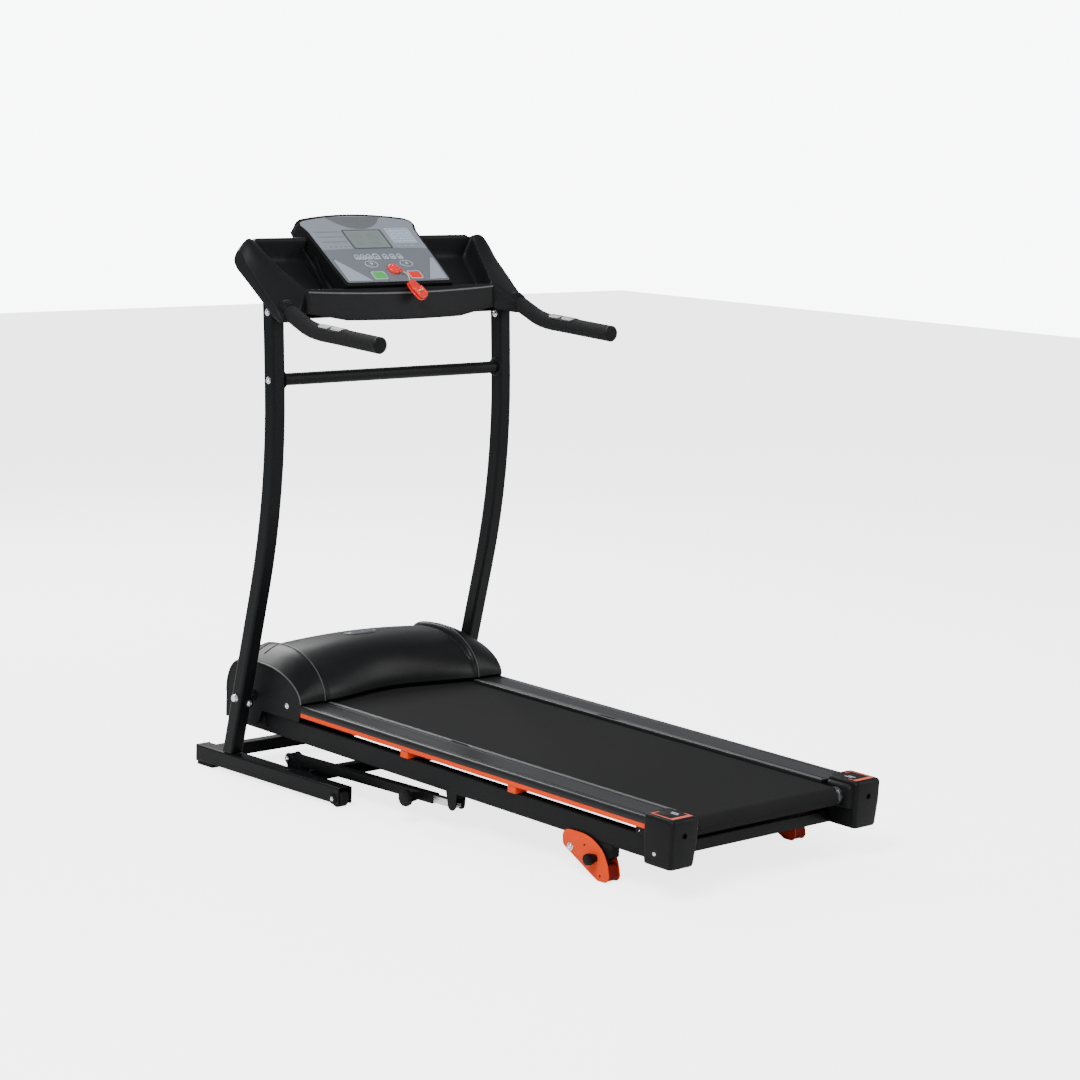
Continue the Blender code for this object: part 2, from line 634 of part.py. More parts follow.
def pulley_outline(clearance, steps=12):
    """Outline of the drive belt round the motor pulley and the roller pulley."""
    small = MOTOR_PULLEY_RADIUS + clearance
    large = ROLLER_PULLEY_RADIUS + clearance
    run_y = MOTOR_Y - FRONT_ROLLER_Y
    run_z = MOTOR_Z - ROLLER_Z
    heading = math.degrees(math.atan2(run_z, run_y))
    lean = math.degrees(math.asin((large - small) / math.hypot(run_y, run_z)))
    front = arc((MOTOR_Y, MOTOR_Z), small, heading - 90 + lean, heading + 90 - lean, steps)
    rear = arc((FRONT_ROLLER_Y, ROLLER_Z), large, heading + 90 - lean,
               heading + 270 + lean, steps)
    return front + rear


def rail_profile(sign):
    """Section of a foot rail: a grooved top with an outer skirt, as (x, z)."""
    groove = 0.0009
    points = [(RAIL_INNER, 0.0019), (RAIL_INNER, RAIL_TOP - 0.001),
              (RAIL_INNER + 0.001, RAIL_TOP)]
    for middle in (0.240, 0.256, 0.272, 0.288):
        points += [(middle - 0.0025, RAIL_TOP), (middle - 0.0018, RAIL_TOP - groove),
                   (middle + 0.0018, RAIL_TOP - groove), (middle + 0.0025, RAIL_TOP)]
    points += [(RAIL_OUTER - 0.004, RAIL_TOP), (RAIL_OUTER - 0.0012, RAIL_TOP - 0.0012),
               (RAIL_OUTER, RAIL_TOP - 0.004), (RAIL_OUTER, -0.0058), (BOARD_X + GAP, -0.0058),
               (BOARD_X + GAP, 0.0019)]
    return [(sign * x, z) for x, z in points]


def make_deck_trim():
    """Foot rails, orange cushion strips and the moulded rear end caps."""
    for side, sign in SIDES:
        make_plate(f"{side}_foot_rail", [rail_profile(sign)], -RAIL_FRONT, -CAP_FRONT - GAP,
                   TO_FRONT, BLACK_PLASTIC, DECK)
        strip_outline = rounded_rectangle((sign * 0.3077, -0.0116), 0.0146, 0.0112, 0.002)
        strip = make_plate(f"{side}_cushion_strip", [strip_outline], -RAIL_FRONT,
                           -CAP_FRONT - GAP, TO_FRONT, ORANGE, DECK)
        for number, place in enumerate(CUSHION_PLACES):
            low_x, high_x = sorted((sign * 0.2765, sign * 0.3125))
            block = make_box(f"{side}_cushion_{number}",
                             (low_x, place - 0.0125, SIDE_TOP + GAP),
                             (high_x, place + 0.0125, BOARD_BOTTOM - GAP), ORANGE, DECK,
                             collection=CUTTERS)
            join(strip, block)
        make_end_cap(side, sign)


def make_end_cap(side, sign):
    """Moulded block over the rear end of a side tube, open to the front."""
    low_x, high_x = sorted((sign * CAP_INNER, sign * CAP_OUTER))
    cap = make_box(f"{side}_end_cap", (low_x, CAP_REAR, CAP_BOTTOM), (high_x, CAP_FRONT, CAP_TOP),
                   BLACK_PLASTIC, DECK, bevel=0.006)
    wall = 0.0028
    cut(cap, make_box(f"{side}_cap_hollow", (low_x + wall, CAP_REAR + wall, CAP_BOTTOM + wall),
                      (high_x - wall, CAP_FRONT + 0.02, CAP_TOP - wall), parent=DECK,
                      collection=CUTTERS))
    cut(cap, make_rod(f"{side}_axle_slot", (sign * 0.235, REAR_ROLLER_Y, ROLLER_Z),
                      (sign * 0.255, REAR_ROLLER_Y, ROLLER_Z), 0.0060, parent=DECK,
                      segments=16, collection=CUTTERS))
    cut(cap, make_rod(f"{side}_adjuster_hole", (sign * 0.284, CAP_REAR - 0.01, ROLLER_Z),
                      (sign * 0.284, CAP_REAR + 0.01, ROLLER_Z), 0.0065, parent=DECK,
                      segments=16, collection=CUTTERS))
    tab_low, tab_high = sorted((sign * 0.2775, sign * 0.3125))
    join(cap, make_box(f"{side}_cap_tab", (tab_low, CAP_FRONT - 0.004, -0.0312),
                       (tab_high, CAP_FRONT + 0.030, -0.0188), BLACK_PLASTIC, DECK,
                       collection=CUTTERS))
    web_low, web_high = sorted((sign * 0.308, sign * 0.3205))
    join(cap, make_box(f"{side}_cap_web", (web_low, CAP_FRONT - 0.012, -0.0312),
                       (web_high, CAP_FRONT - 0.001, -0.0188), BLACK_PLASTIC, DECK,
                       collection=CUTTERS))


def hood_height(x):
    """Height of the hood's crest above the pivot, at a distance from the middle."""
    across = abs(x) / 0.315
    return 0.123 - 0.020 * across ** 2 - 0.015 * across ** 8


def hood_rear(x):
    """Where the hood's rear edge lies along the deck."""
    across = min(abs(x) / 0.27, 1.0)
    return -0.143 - 0.040 * across ** 2 * (3 - 2 * across)


def hood_section(x, wall=0.0):
    """Closed hood outline at a distance from the middle; wall moves it inwards."""
    crest = hood_height(x) - wall
    bulge = 0.004 * (1 - (abs(x) / 0.315) ** 4) - wall
    rear = hood_rear(x) + wall
    edge = 0.0135
    points = [(0.1062 + bulge, -0.008), (0.1010 + bulge, 0.35 * crest),
              (0.0930 + bulge, 0.60 * crest), (0.0740, 0.81 * crest),
              (0.0480, 0.93 * crest), (0.0100, 0.99 * crest)]
    start = -0.030
    for step in range(7):
        turn = math.radians(15 * step)
        points.append((start + (rear - start) * math.sin(turn),
                       edge + (crest - edge) * math.cos(turn)))
    if wall:
        points += [(rear - 0.030, edge), (rear - 0.030, -0.090), (0.1050 - wall, -0.090)]
    else:
        points += [(rear, -0.030), (-0.035, -0.030), (-0.020, -0.070), (0.1050, -0.070)]
    return [(x, y, z) for y, z in points]


def make_hood():
    """The motor cover: one thin moulding with its side walls, open underneath."""
    edge = 0.3150
    wall = 0.0025
    half = [0.0, 0.090, 0.170, 0.230, 0.270, 0.300]
    stations = [-x for x in reversed(half[1:])] + half
    outer = [hood_section(x) for x in [-edge] + stations + [edge]]
    inner = [hood_section(x, wall) for x in [wall - edge] + stations + [edge - wall]]
    hood = loft("motor_hood", outer, BLACK_PLASTIC, DECK, closed=True, caps=True)
    hollow = loft("hood_hollow", inner, BLACK_PLASTIC, DECK, closed=True, caps=True,
                  collection=CUTTERS)
    cut(hood, hollow)
    smooth(hood, 50)
    for side, sign in SIDES:
        cut(hood, make_rod(f"{side}_hood_hole", (sign * 0.305, *PIVOT), (sign * 0.325, *PIVOT),
                           0.009, segments=18, collection=CUTTERS))
    for name, x in (("inlet", 0.215), ("switch", 0.170)):
        cut(hood, make_box(f"{name}_window", (x - 0.0155, 0.080, -0.047),
                           (x + 0.0155, 0.125, -0.013), parent=DECK, collection=CUTTERS))
    inlet = make_box("mains_inlet", (0.2003, 0.084, -0.0465), (0.2297, 0.1125, -0.0135),
                     BLACK_PLASTIC, DECK, bevel=0.002)
    cut(inlet, make_box("inlet_socket", (0.204, 0.094, -0.041), (0.226, 0.120, -0.019),
                        parent=DECK, collection=CUTTERS))
    make_box("power_switch", (0.1560, 0.088, -0.0445), (0.1840, 0.1130, -0.0155), RED, DECK,
             bevel=0.002)


# --------------------------------------------------------- incline feet, strut

def around_pivot(points):
    """Points given (rearward, up) from the incline pivot, as world (y, z)."""
    return [(INCLINE_PIVOT[0] - back, INCLINE_PIVOT[1] + up) for back, up in points]


def make_incline_feet():
    """Orange feet that straddle the tabs under the side tubes, with their lock knobs."""
    outline = around_pivot([(-0.024, 0.012), (-0.0245, 0.022), (-0.020, 0.031), (-0.010, 0.036),
                            (0.0, 0.037), (0.0315, 0.037), (0.048, 0.035), (0.063, 0.031),
                            (0.080, 0.0225), (0.095, 0.012), (0.106, -0.002), (0.114, -0.019),
                            (0.119, -0.040), (0.118, -0.0470), (0.1135, -0.0530),
                            (0.106, -0.0565), (0.085, -0.0565), (-0.018, -0.002),
                            (-0.023, 0.003)])
    slot = around_pivot([(-0.040, 0.060), (-0.040, -0.030), (0.030, -0.030), (0.030, -0.0238),
                         (0.085, -0.0531), (0.100, -0.0535), (0.112, -0.0485),
                         (0.1155, -0.040), (0.150, -0.040), (0.150, 0.060)])
    pivot_y, pivot_z = INCLINE_PIVOT
    pin_y = pivot_y + INCLINE_PIN[0]
    pin_z = pivot_z + INCLINE_PIN[1]
    for side, sign in SIDES:
        low_x, high_x = sorted((sign * (SIDE_X + 0.0185), sign * (SIDE_X - 0.0165)))
        foot = make_plate(f"{side}_incline_foot", [outline], low_x, high_x, TO_SIDE, ORANGE)
        cut(foot, make_plate(f"{side}_foot_slot", [slot], low_x + 0.003, high_x - 0.003,
                             TO_SIDE, collection=CUTTERS))
        cut(foot, make_rod(f"{side}_foot_lock_hole", (sign * 0.295, pin_y, pin_z),
                           (sign * 0.320, pin_y, pin_z), 0.0043, segments=14,
                           collection=CUTTERS))
        join(foot, make_rod(f"{side}_foot_pivot", (sign * (SIDE_X - 0.0185), pivot_y, pivot_z),
                            (sign * (SIDE_X + 0.0225), pivot_y, pivot_z), 0.0050, ZINC,
                            segments=16, collection=CUTTERS))
        knob = make_rod(f"{side}_incline_knob", (sign * 0.2998, pin_y, pin_z),
                        (sign * 0.3140, pin_y, pin_z), 0.0040, BLACK_PLASTIC, segments=16)
        grip = make_rod(f"{side}_knob_grip", (sign * 0.3068, pin_y, pin_z),
                        (sign * 0.3330, pin_y, pin_z), 0.0090, BLACK_PLASTIC, segments=20,
                        end_radius=0.0125, bevel=0.0015, collection=CUTTERS)
        join(knob, grip)


def make_strut():
    """Telescopic strut; its own frame has its origin at the base pivot and -y along it."""
    half = STRUT_OUTER_SIZE / 2
    length = math.hypot(STRUT_BASE[0] - STRUT_DECK[0], STRUT_BASE[1] - STRUT_DECK[1])
    nose = arc((0, 0), half + 0.002, 90, -90, 8)
    outline = nose + [(-0.030, -half), (-STRUT_SLEEVE_END, -half), (-STRUT_SLEEVE_END, half),
                      (-0.030, half)]
    outer = make_plate("strut_outer_tube", [outline], -half, half, TO_SIDE, parent=STRUT,
                       bevel=0.0015)
    bore = STRUT_INNER_SIZE / 2 + GAP
    cut(outer, make_box("strut_bore", (-bore, -STRUT_SLEEVE_END - 0.01, -bore),
                        (bore, -0.030, bore), parent=STRUT, collection=CUTTERS))
    cut(outer, make_rod("strut_pin_hole", (-0.02, 0, 0), (0.02, 0, 0), 0.0045, parent=STRUT,
                        segments=16, collection=CUTTERS))
    boss_start = half - 0.001
    join(outer, make_rod("strut_boss", (-boss_start, -STRUT_KNOB_PLACE, 0),
                         (-boss_start - 0.010, -STRUT_KNOB_PLACE, 0), 0.0085, FRAME_PAINT, STRUT,
                         segments=20, collection=CUTTERS))
    cut(outer, make_rod("strut_boss_hole", (-0.035, -STRUT_KNOB_PLACE, 0),
                        (0.0, -STRUT_KNOB_PLACE, 0), 0.0043, parent=STRUT, segments=16,
                        collection=CUTTERS))
    inner_half = STRUT_INNER_SIZE / 2
    end = arc((-length, 0), inner_half, 90, 270, 8)
    inner_outline = end + [(-0.080, -inner_half), (-0.080, inner_half)]
    inner = make_plate("strut_inner_tube", [inner_outline], -inner_half, inner_half, TO_SIDE,
                       material=ZINC, parent=STRUT, bevel=0.0008)
    cut(inner, make_box("inner_bore", (-inner_half + 0.0015, -length + 0.030, -inner_half + 0.0015),
                        (inner_half - 0.0015, -0.070, inner_half - 0.0015), parent=STRUT,
                        collection=CUTTERS))
    knob = make_rod("strut_knob", (-inner_half - 0.0008, -STRUT_KNOB_PLACE, 0),
                    (-0.030, -STRUT_KNOB_PLACE, 0), 0.0040, BLACK_PLASTIC, STRUT, segments=16)
    join(knob, make_rod("strut_knob_grip", (-0.0215, -STRUT_KNOB_PLACE, 0),
                        (-0.058, -STRUT_KNOB_PLACE, 0), 0.0095, BLACK_PLASTIC, STRUT,
                        segments=20, end_radius=0.0125, bevel=0.002, collection=CUTTERS))


# ----------------------------------------------------------------- the console

def console_section(x):
    """Shell section at a distance from the middle, from the front edge to the back.

    Points are (y, z) in the console's frame: lower front edge, front lip, tray
    front, tray floor, tray back, back rim and lower back edge.
    """
    across = abs(x)
    if across <= 0.176:
        floor = -0.0335
        return [(-0.047, -0.049), (-0.002, -0.002), (0.0, 0.0), (0.002, floor),
                (0.130, floor), (0.184, floor), (0.191, floor - 0.004), (0.176, -0.058)]
    if across < 0.287:
        side = (across - 0.176) / 0.110
        floor = -0.046
        front = -0.047 + 0.010 * side
        return [(front, -0.049 + 0.012 * side), (-0.002, -0.002), (0.003, 0.0), (0.010, floor),
                (0.155, floor), (0.184 - 0.015 * side, 0.0), (0.193 - 0.016 * side, -0.003),
                (0.176 - 0.006 * side, -0.058)]
    side = (across - 0.287) / 0.098
    drop = 0.004 * side + 0.032 * side ** 2
    reach = -0.060 * math.sin(min(side * 1.3, 1.0) * math.pi / 2)
    lower = -0.048 + 0.006 * math.sin(side * math.pi)
    front_low = -0.037 - 0.018 * math.sin(min(side * 1.2, 1.0) * math.pi)
    return [(front_low, lower + 0.002), (reach, -0.003 - drop * 1.05), (reach + 0.005, -drop),
            (0.020, -drop), (0.130, -drop), (0.164 - 0.012 * side, -drop),
            (0.176 - 0.020 * side, -0.003 - drop), (0.168 - 0.018 * side, -0.056 + 0.008 * side)]


def make_console():
    """Console shell with its two trays, its lower cover and the display pod."""
    half_stations = [0.0, 0.100, 0.1755, 0.1795, 0.230, 0.2830, 0.2872, 0.310, 0.335, 0.358,
                     0.376, 0.385]
    stations = [-x for x in reversed(half_stations[1:])] + half_stations
    sections = [[(x, y, z) for y, z in console_section(x)] for x in stations]
    shell = loft("console_shell", sections, BLACK_PLASTIC, CONSOLE)
    shape = bmesh.new()
    shape.from_mesh(shell.data)
    shape.verts.ensure_lookup_table()
    count = len(sections[0])
    total = len(shape.verts)
    for first in (0, total - count):
        shape.faces.new([shape.verts[first + i] for i in range(count)])
    bmesh.ops.recalc_face_normals(shape, faces=shape.faces)
    shape.to_mesh(shell.data)
    shape.free()
    add_shell(shell, SHELL_THICKNESS)
    for side, sign in SIDES:
        cut(shell, make_tube(f"{side}_grip_hole", handle_path(sign), GRIP_RADIUS + 0.0012,
                             BLACK_PLASTIC, resolution=5, collection=CUTTERS))
    back = [(-0.036, -0.0524), (-0.036, -0.0552), (0.171, -0.0642), (0.171, -0.0614)]
    make_plate("console_back", [back], -0.300, 0.300, TO_SIDE, BLACK_PLASTIC, CONSOLE)
    outline = pod_outline(0.0)
    housing = make_plate("display_pod", [outline], -0.030, POD_FACE, material=BLACK_PLASTIC,
                         parent=CONSOLE, bevel=0.003)
    cut(housing, make_plate("pod_hollow", [pod_outline(0.006)], -0.040, POD_FACE - 0.0025,
                            parent=CONSOLE, collection=CUTTERS))
    window = make_box("lcd_window", (-0.058, 0.1400, 0.0), (0.051, 0.1960, 0.010),
                      parent=CONSOLE, collection=CUTTERS)
    cut(housing, window)
    overlay = make_plate("display_overlay", [pod_outline(0.0085)], POD_FACE + GAP,
                         POD_FACE + 0.0012, material=FACE_GREY, parent=CONSOLE)
    cut(overlay, window)
    make_display_board()
    make_buttons(overlay, housing)


def pod_outline(inset):
    """Outline of the display pod, anticlockwise; inset draws it inwards."""
    right = [(0.162, 0.0070 + inset), (0.1655, 0.0115 + inset), (0.1690, 0.080),
             (0.1715, 0.198), (0.1800, 0.222), (0.1770, 0.236 - 0.6 * inset)]
    right = [(x - inset, y) for x, y in right]
    steps = [0.160 - 0.040 * i for i in range(9)]
    top = [(x * (1 - 0.7 * inset / 0.160), 0.262 - inset - 0.016 * (x / 0.160) ** 2)
           for x in steps]
    left = [(-x, y) for x, y in reversed(right)]
    return right + top + left


def make_display_board():
    """Circuit board inside the pod, with the screen that fills the window."""
    board = make_box("display_board", (-0.140, 0.020, -0.012), (0.140, 0.215, -0.0104),
                     CIRCUIT_GREEN, CONSOLE)
    join(board, make_box("lcd_glass", (-0.0576, 0.1404, -0.0108), (0.0506, 0.1956, 0.0035),
                         CIRCUIT_GREEN, CONSOLE, collection=CUTTERS))
    chip = make_box("display_chip", (-0.020, 0.060, -0.0160), (0.020, 0.095, -0.0115),
                    CIRCUIT_GREEN, CONSOLE, collection=CUTTERS)
    join(board, chip)


BUTTONS = (("start_button", (-0.0700, 0.0200), (-0.0290, 0.0540), GREEN),
           ("stop_button", (0.0410, 0.0200), (0.0800, 0.0540), RED),
           ("slower_button", (-0.0570, 0.0700), (-0.0370, 0.0860), FACE_GREY),
           ("faster_button", (0.0500, 0.0700), (0.0700, 0.0860), FACE_GREY))


def make_buttons(overlay, housing):
    """Keys that stand in windows through the overlay and the pod's front wall."""
    for name, (x0, y0), (x1, y1), material in BUTTONS:
        window = make_box(f"{name}_window", (x0 - 0.0004, y0 - 0.0004, -0.004),
                          (x1 + 0.0004, y1 + 0.0004, 0.012), parent=CONSOLE,
                          collection=CUTTERS)
        cut(overlay, window)
        cut(housing, window)
        make_box(name, (x0, y0, -0.0070), (x1, y1, POD_FACE + 0.0026), material, CONSOLE,
                 bevel=0.0012)


KEY_PLACE = (0.0055, 0.0550)
CLIP_START = (0.0150, 0.0080)
CLIP_TURN = math.radians(14.0)


def make_safety_key():
    """Round magnet key, its short cord, and the clothes clip lying over the lip."""
    face = POD_FACE + 0.0012 + GAP
    x, y = KEY_PLACE
    profile = [(0.0, 0.0110), (0.012, 0.0105), (0.0165, 0.0085), (0.0185, 0.0050),
               (0.0185, 0.0), (0.0, 0.0)]
    smooth(turned("safety_key", profile, (x, y, face), (0, 0, 1), RED, CONSOLE, 28))
    make_tube("safety_cord", cord_route(), 0.0010, BEIGE, CONSOLE, resolution=2)
    holder = make_empty("clip_frame", (*CLIP_START, 0.0158), 0.0)
    holder.parent = CONSOLE
    holder.rotation_euler = (math.radians(6.0), 0.0, CLIP_TURN)
    upper = [(0.000, -0.006), (0.006, -0.010), (0.0105, -0.030), (0.0105, -0.052),
             (0.006, -0.060), (-0.006, -0.060), (-0.0105, -0.052), (-0.0105, -0.030),
             (-0.006, -0.010)]
    clip = make_plate("safety_clip", [upper], 0.0012, 0.0060, material=RED, parent=holder,
                      bevel=0.0008)
    join(clip, make_box("clip_fulcrum", (-0.0040, -0.034, -0.0012), (0.0040, -0.0285, 0.002), RED,
                        holder, collection=CUTTERS))
    cut(clip, make_box("clip_window", (-0.0045, -0.050, 0.0), (0.0045, -0.042, 0.010),
                       parent=holder, collection=CUTTERS))
    jaw = make_plate("clip_jaw", [upper], -0.0063, -0.0017, material=RED, parent=holder,
                     bevel=0.0008)
    jaw.location.z = -0.0002


def cord_route():
    """Centre line of the safety cord, from the key's edge to the clip."""
    x, y = KEY_PLACE
    end_x, end_y = CLIP_START
    start = Vector((x + 0.0140, y - 0.0135, 0.0115))
    end = Vector((end_x - 0.0014, end_y - 0.0052, 0.0190))
    bow = Vector((0.0050, 0.0030, 0.0035))
    points = []
    for step in range(15):
        t = step / 14
        points.append(start.lerp(end, t) + bow * 4 * t * (1 - t))
    return points


# ----------------------------------------------------------------- the handles

def handle_path(sign):
    """Centre line of a handle, from inside the cheek to its rear end."""
    route = [(0.5085, 1.1240), (0.488, 1.1235), (0.463, 1.1150), (0.427, 1.1000),
             (0.392, 1.0865), (0.352, 1.0790), (0.281, 1.0752), (0.141, 1.0678)]
    points = []
    for i in range(len(route) - 1):
        before = Vector(route[max(i - 1, 0)])
        here, after = Vector(route[i]), Vector(route[i + 1])
        beyond = Vector(route[min(i + 2, len(route) - 1)])
        for step in range(3):
            t = step / 3
            place = 0.5 * (2 * here + (after - before) * t
                           + (2 * before - 5 * here + 4 * after - beyond) * t * t
                           + (3 * here - before - 3 * after + beyond) * t ** 3)
            points.append((sign * HANDLE_X, place.x, place.y))
    points.append((sign * HANDLE_X, *route[-1]))
    return points


def make_handles():
    """Steel handle tubes with foam grips and pulse plates."""
    for side, sign in SIDES:
        path = handle_path(sign)
        make_tube(f"{side}_handle", path, HANDLE_RADIUS, FRAME_PAINT, resolution=4)
        last = Vector(path[-1])
        tip = last + (last - Vector(path[-2])).normalized() * 0.006
        grip = make_tube(f"{side}_grip", path[5:] + [tuple(tip)], GRIP_RADIUS, SOFT_BLACK,
                         resolution=5)
        bore_path = [tuple(Vector(path[4]) + Vector((0, 0.004, 0)))] + path[5:]
        bore_path[-1] = tuple(last + (last - Vector(path[-2])).normalized() * 0.0004)
        cut(grip, make_tube(f"{side}_grip_bore", [path[4]] + bore_path[1:],
                            HANDLE_RADIUS + 0.0003, SOFT_BLACK, resolution=4,
                            collection=CUTTERS))
        make_pulse_plate(side, sign, path)


def make_pulse_plate(side, sign, path):
    """Curved metal plate that sits on top of a grip."""
    start, end = Vector((0.345, 1.0783)), Vector((0.262, 1.0743))
    run = (end - start).normalized()
    up = Vector((-run.y, run.x)) if run.x > 0 else Vector((run.y, -run.x))
    inner, outer = GRIP_RADIUS + 0.0004, GRIP_RADIUS + 0.0020
    sections = []
    for step in range(7):
        centre = start.lerp(end, step / 6)
        section = []
        for radius, angles in ((inner, range(-45, 46, 15)), (outer, range(45, -46, -15))):
            for angle in angles:
                turn = math.radians(angle)
                lift = up * (radius * math.cos(turn))
                section.append((sign * HANDLE_X + radius * math.sin(turn),
                                centre.x + lift.x, centre.y + lift.y))
        sections.append(section)
    loft(f"{side}_pulse_plate", sections, ZINC, closed=True, caps=True)


make_base()
make_frame()
make_running_gear()
make_deck_trim()
make_hood()
make_incline_feet()
make_strut()
make_console()
make_safety_key()
make_handles()
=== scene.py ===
"""Looks for the folding treadmill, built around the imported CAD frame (metres, +Z up)."""

import json
import math

import bmesh
import bpy
from mathutils import Matrix, Vector


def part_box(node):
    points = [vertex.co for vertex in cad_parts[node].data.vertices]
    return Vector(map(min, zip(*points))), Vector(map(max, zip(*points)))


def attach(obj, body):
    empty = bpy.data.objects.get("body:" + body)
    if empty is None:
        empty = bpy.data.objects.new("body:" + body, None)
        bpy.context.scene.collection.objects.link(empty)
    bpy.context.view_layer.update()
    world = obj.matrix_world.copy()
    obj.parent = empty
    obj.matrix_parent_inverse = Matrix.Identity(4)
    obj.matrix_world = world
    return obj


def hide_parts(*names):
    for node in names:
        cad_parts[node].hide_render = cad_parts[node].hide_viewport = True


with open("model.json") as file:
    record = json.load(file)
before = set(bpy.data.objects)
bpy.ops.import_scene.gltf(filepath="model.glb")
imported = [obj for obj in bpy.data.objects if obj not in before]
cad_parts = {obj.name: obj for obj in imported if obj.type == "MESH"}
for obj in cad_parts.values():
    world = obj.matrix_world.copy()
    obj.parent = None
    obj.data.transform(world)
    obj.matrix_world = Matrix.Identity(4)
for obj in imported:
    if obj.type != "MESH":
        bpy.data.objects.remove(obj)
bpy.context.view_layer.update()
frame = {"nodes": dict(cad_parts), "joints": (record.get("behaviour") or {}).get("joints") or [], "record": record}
NODES = frame["nodes"]
JOINTS = {joint["name"]: joint for joint in frame["joints"]}

DECK_TILT = math.radians(1.2)
CONSOLE_TILT = math.radians(37.0)
DECK = (Matrix.Translation(JOINTS["deck_fold"]["pos_m"])
        @ Matrix.Rotation(DECK_TILT, 4, "X"))
CONSOLE = (Matrix.Translation((0.0, 0.487, 1.162))
           @ Matrix.Rotation(CONSOLE_TILT, 4, "X"))
SIDES = (("left", -1), ("right", 1))
SKY_LIGHT = 0.42
SKY_SEEN = 9.0
FLOOR_GLOW = 3.2


# ------------------------------------------------------- camera, light, floor

def make_camera():
    """Three-quarter view from the left rear corner, rolled a little."""
    azimuth, elevation, roll = (math.radians(a) for a in (-42.95, 9.0, 1.73))
    back = Vector((math.sin(azimuth) * math.cos(elevation),
                  -math.cos(azimuth) * math.cos(elevation), math.sin(elevation)))
    level = Vector((math.cos(azimuth), math.sin(azimuth), 0.0))
    right = level * math.cos(roll) + back.cross(level) * math.sin(roll)
    data = bpy.data.cameras.new("camera")
    data.sensor_width = 36.0
    data.lens = 96.71
    data.clip_end = 60.0
    camera = bpy.data.objects.new("camera", data)
    bpy.context.scene.collection.objects.link(camera)
    rotation = Matrix((right, back.cross(right), back)).transposed().to_4x4()
    camera.matrix_world = Matrix.Translation((-4.42803, -4.77354, 1.65456)) @ rotation
    bpy.context.scene.camera = camera


def make_light(name, place, target, size, power, colour=(1.0, 1.0, 1.0)):
    data = bpy.data.lights.new(name, "AREA")
    data.shape = "RECTANGLE"
    data.size, data.size_y = size
    data.energy = power
    data.color = colour
    light = bpy.data.objects.new(name, data)
    bpy.context.scene.collection.objects.link(light)
    aim = Vector(target) - Vector(place)
    light.location = place
    light.rotation_euler = aim.to_track_quat("-Z", "Y").to_euler()


def make_studio():
    """Soft studio; the sky and floor are seen brighter than the light they give."""
    world = bpy.data.worlds.new("studio")
    world.use_nodes = True
    nodes = world.node_tree.nodes
    link = world.node_tree.links.new
    background = nodes["Background"]
    background.inputs["Color"].default_value = (0.95, 0.97, 1.0, 1.0)
    ray = add_node(nodes, "LightPath")
    strength = add_node(nodes, "MapRange", {"To Min": SKY_LIGHT, "To Max": SKY_SEEN})
    link(ray.outputs["Is Camera Ray"], strength.inputs["Value"])
    link(strength.outputs["Result"], background.inputs["Strength"])
    bpy.context.scene.world = world
    make_light("key", (-3.2, -1.6, 3.8), (0.0, 0.0, 0.4), (2.2, 2.2), 330)
    make_light("fill", (3.4, -3.2, 2.6), (0.0, 0.0, 0.5), (2.8, 2.8), 110)
    make_light("back", (0.6, 3.6, 3.0), (0.0, 0.2, 0.6), (3.0, 2.0), 200)
    bpy.ops.mesh.primitive_grid_add(x_subdivisions=8, y_subdivisions=8, size=24.0)
    floor = bpy.context.active_object
    floor.name = "studio_floor"
    floor.location.z = -0.0004
    paint = make_surface("floor_paint", (0.9, 0.9, 0.9), 0.85, grain=(18.0, 0.02), mottle=0.01,
            specular=0.1)
    nodes = paint.node_tree.nodes
    link = paint.node_tree.links.new
    shader = nodes["Principled BSDF"]
    shader.inputs["Emission Color"].default_value = (1.0, 1.0, 1.0, 1.0)
    seen = add_node(nodes, "LightPath")
    glow = add_node(nodes, "MapRange", {"To Min": 0.0, "To Max": FLOOR_GLOW})
    link(seen.outputs["Is Camera Ray"], glow.inputs["Value"])
    link(glow.outputs["Result"], shader.inputs["Emission Strength"])
    floor.data.materials.append(paint)


# ------------------------------------------------------------------- materials

def add_node(nodes, kind, inputs=(), **settings):
    """A shader node with its inputs and settings filled in."""
    node = nodes.new("ShaderNode" + kind)
    for key, value in settings.items():
        setattr(node, key, value)
    for key, value in dict(inputs).items():
        node.inputs[key].default_value = value
    return node


def mixed(colour, factor, lift=0.0):
    """A colour made lighter or darker, kept in range."""
    return (*[min(c * factor + lift, 1.0) for c in colour], 1.0)


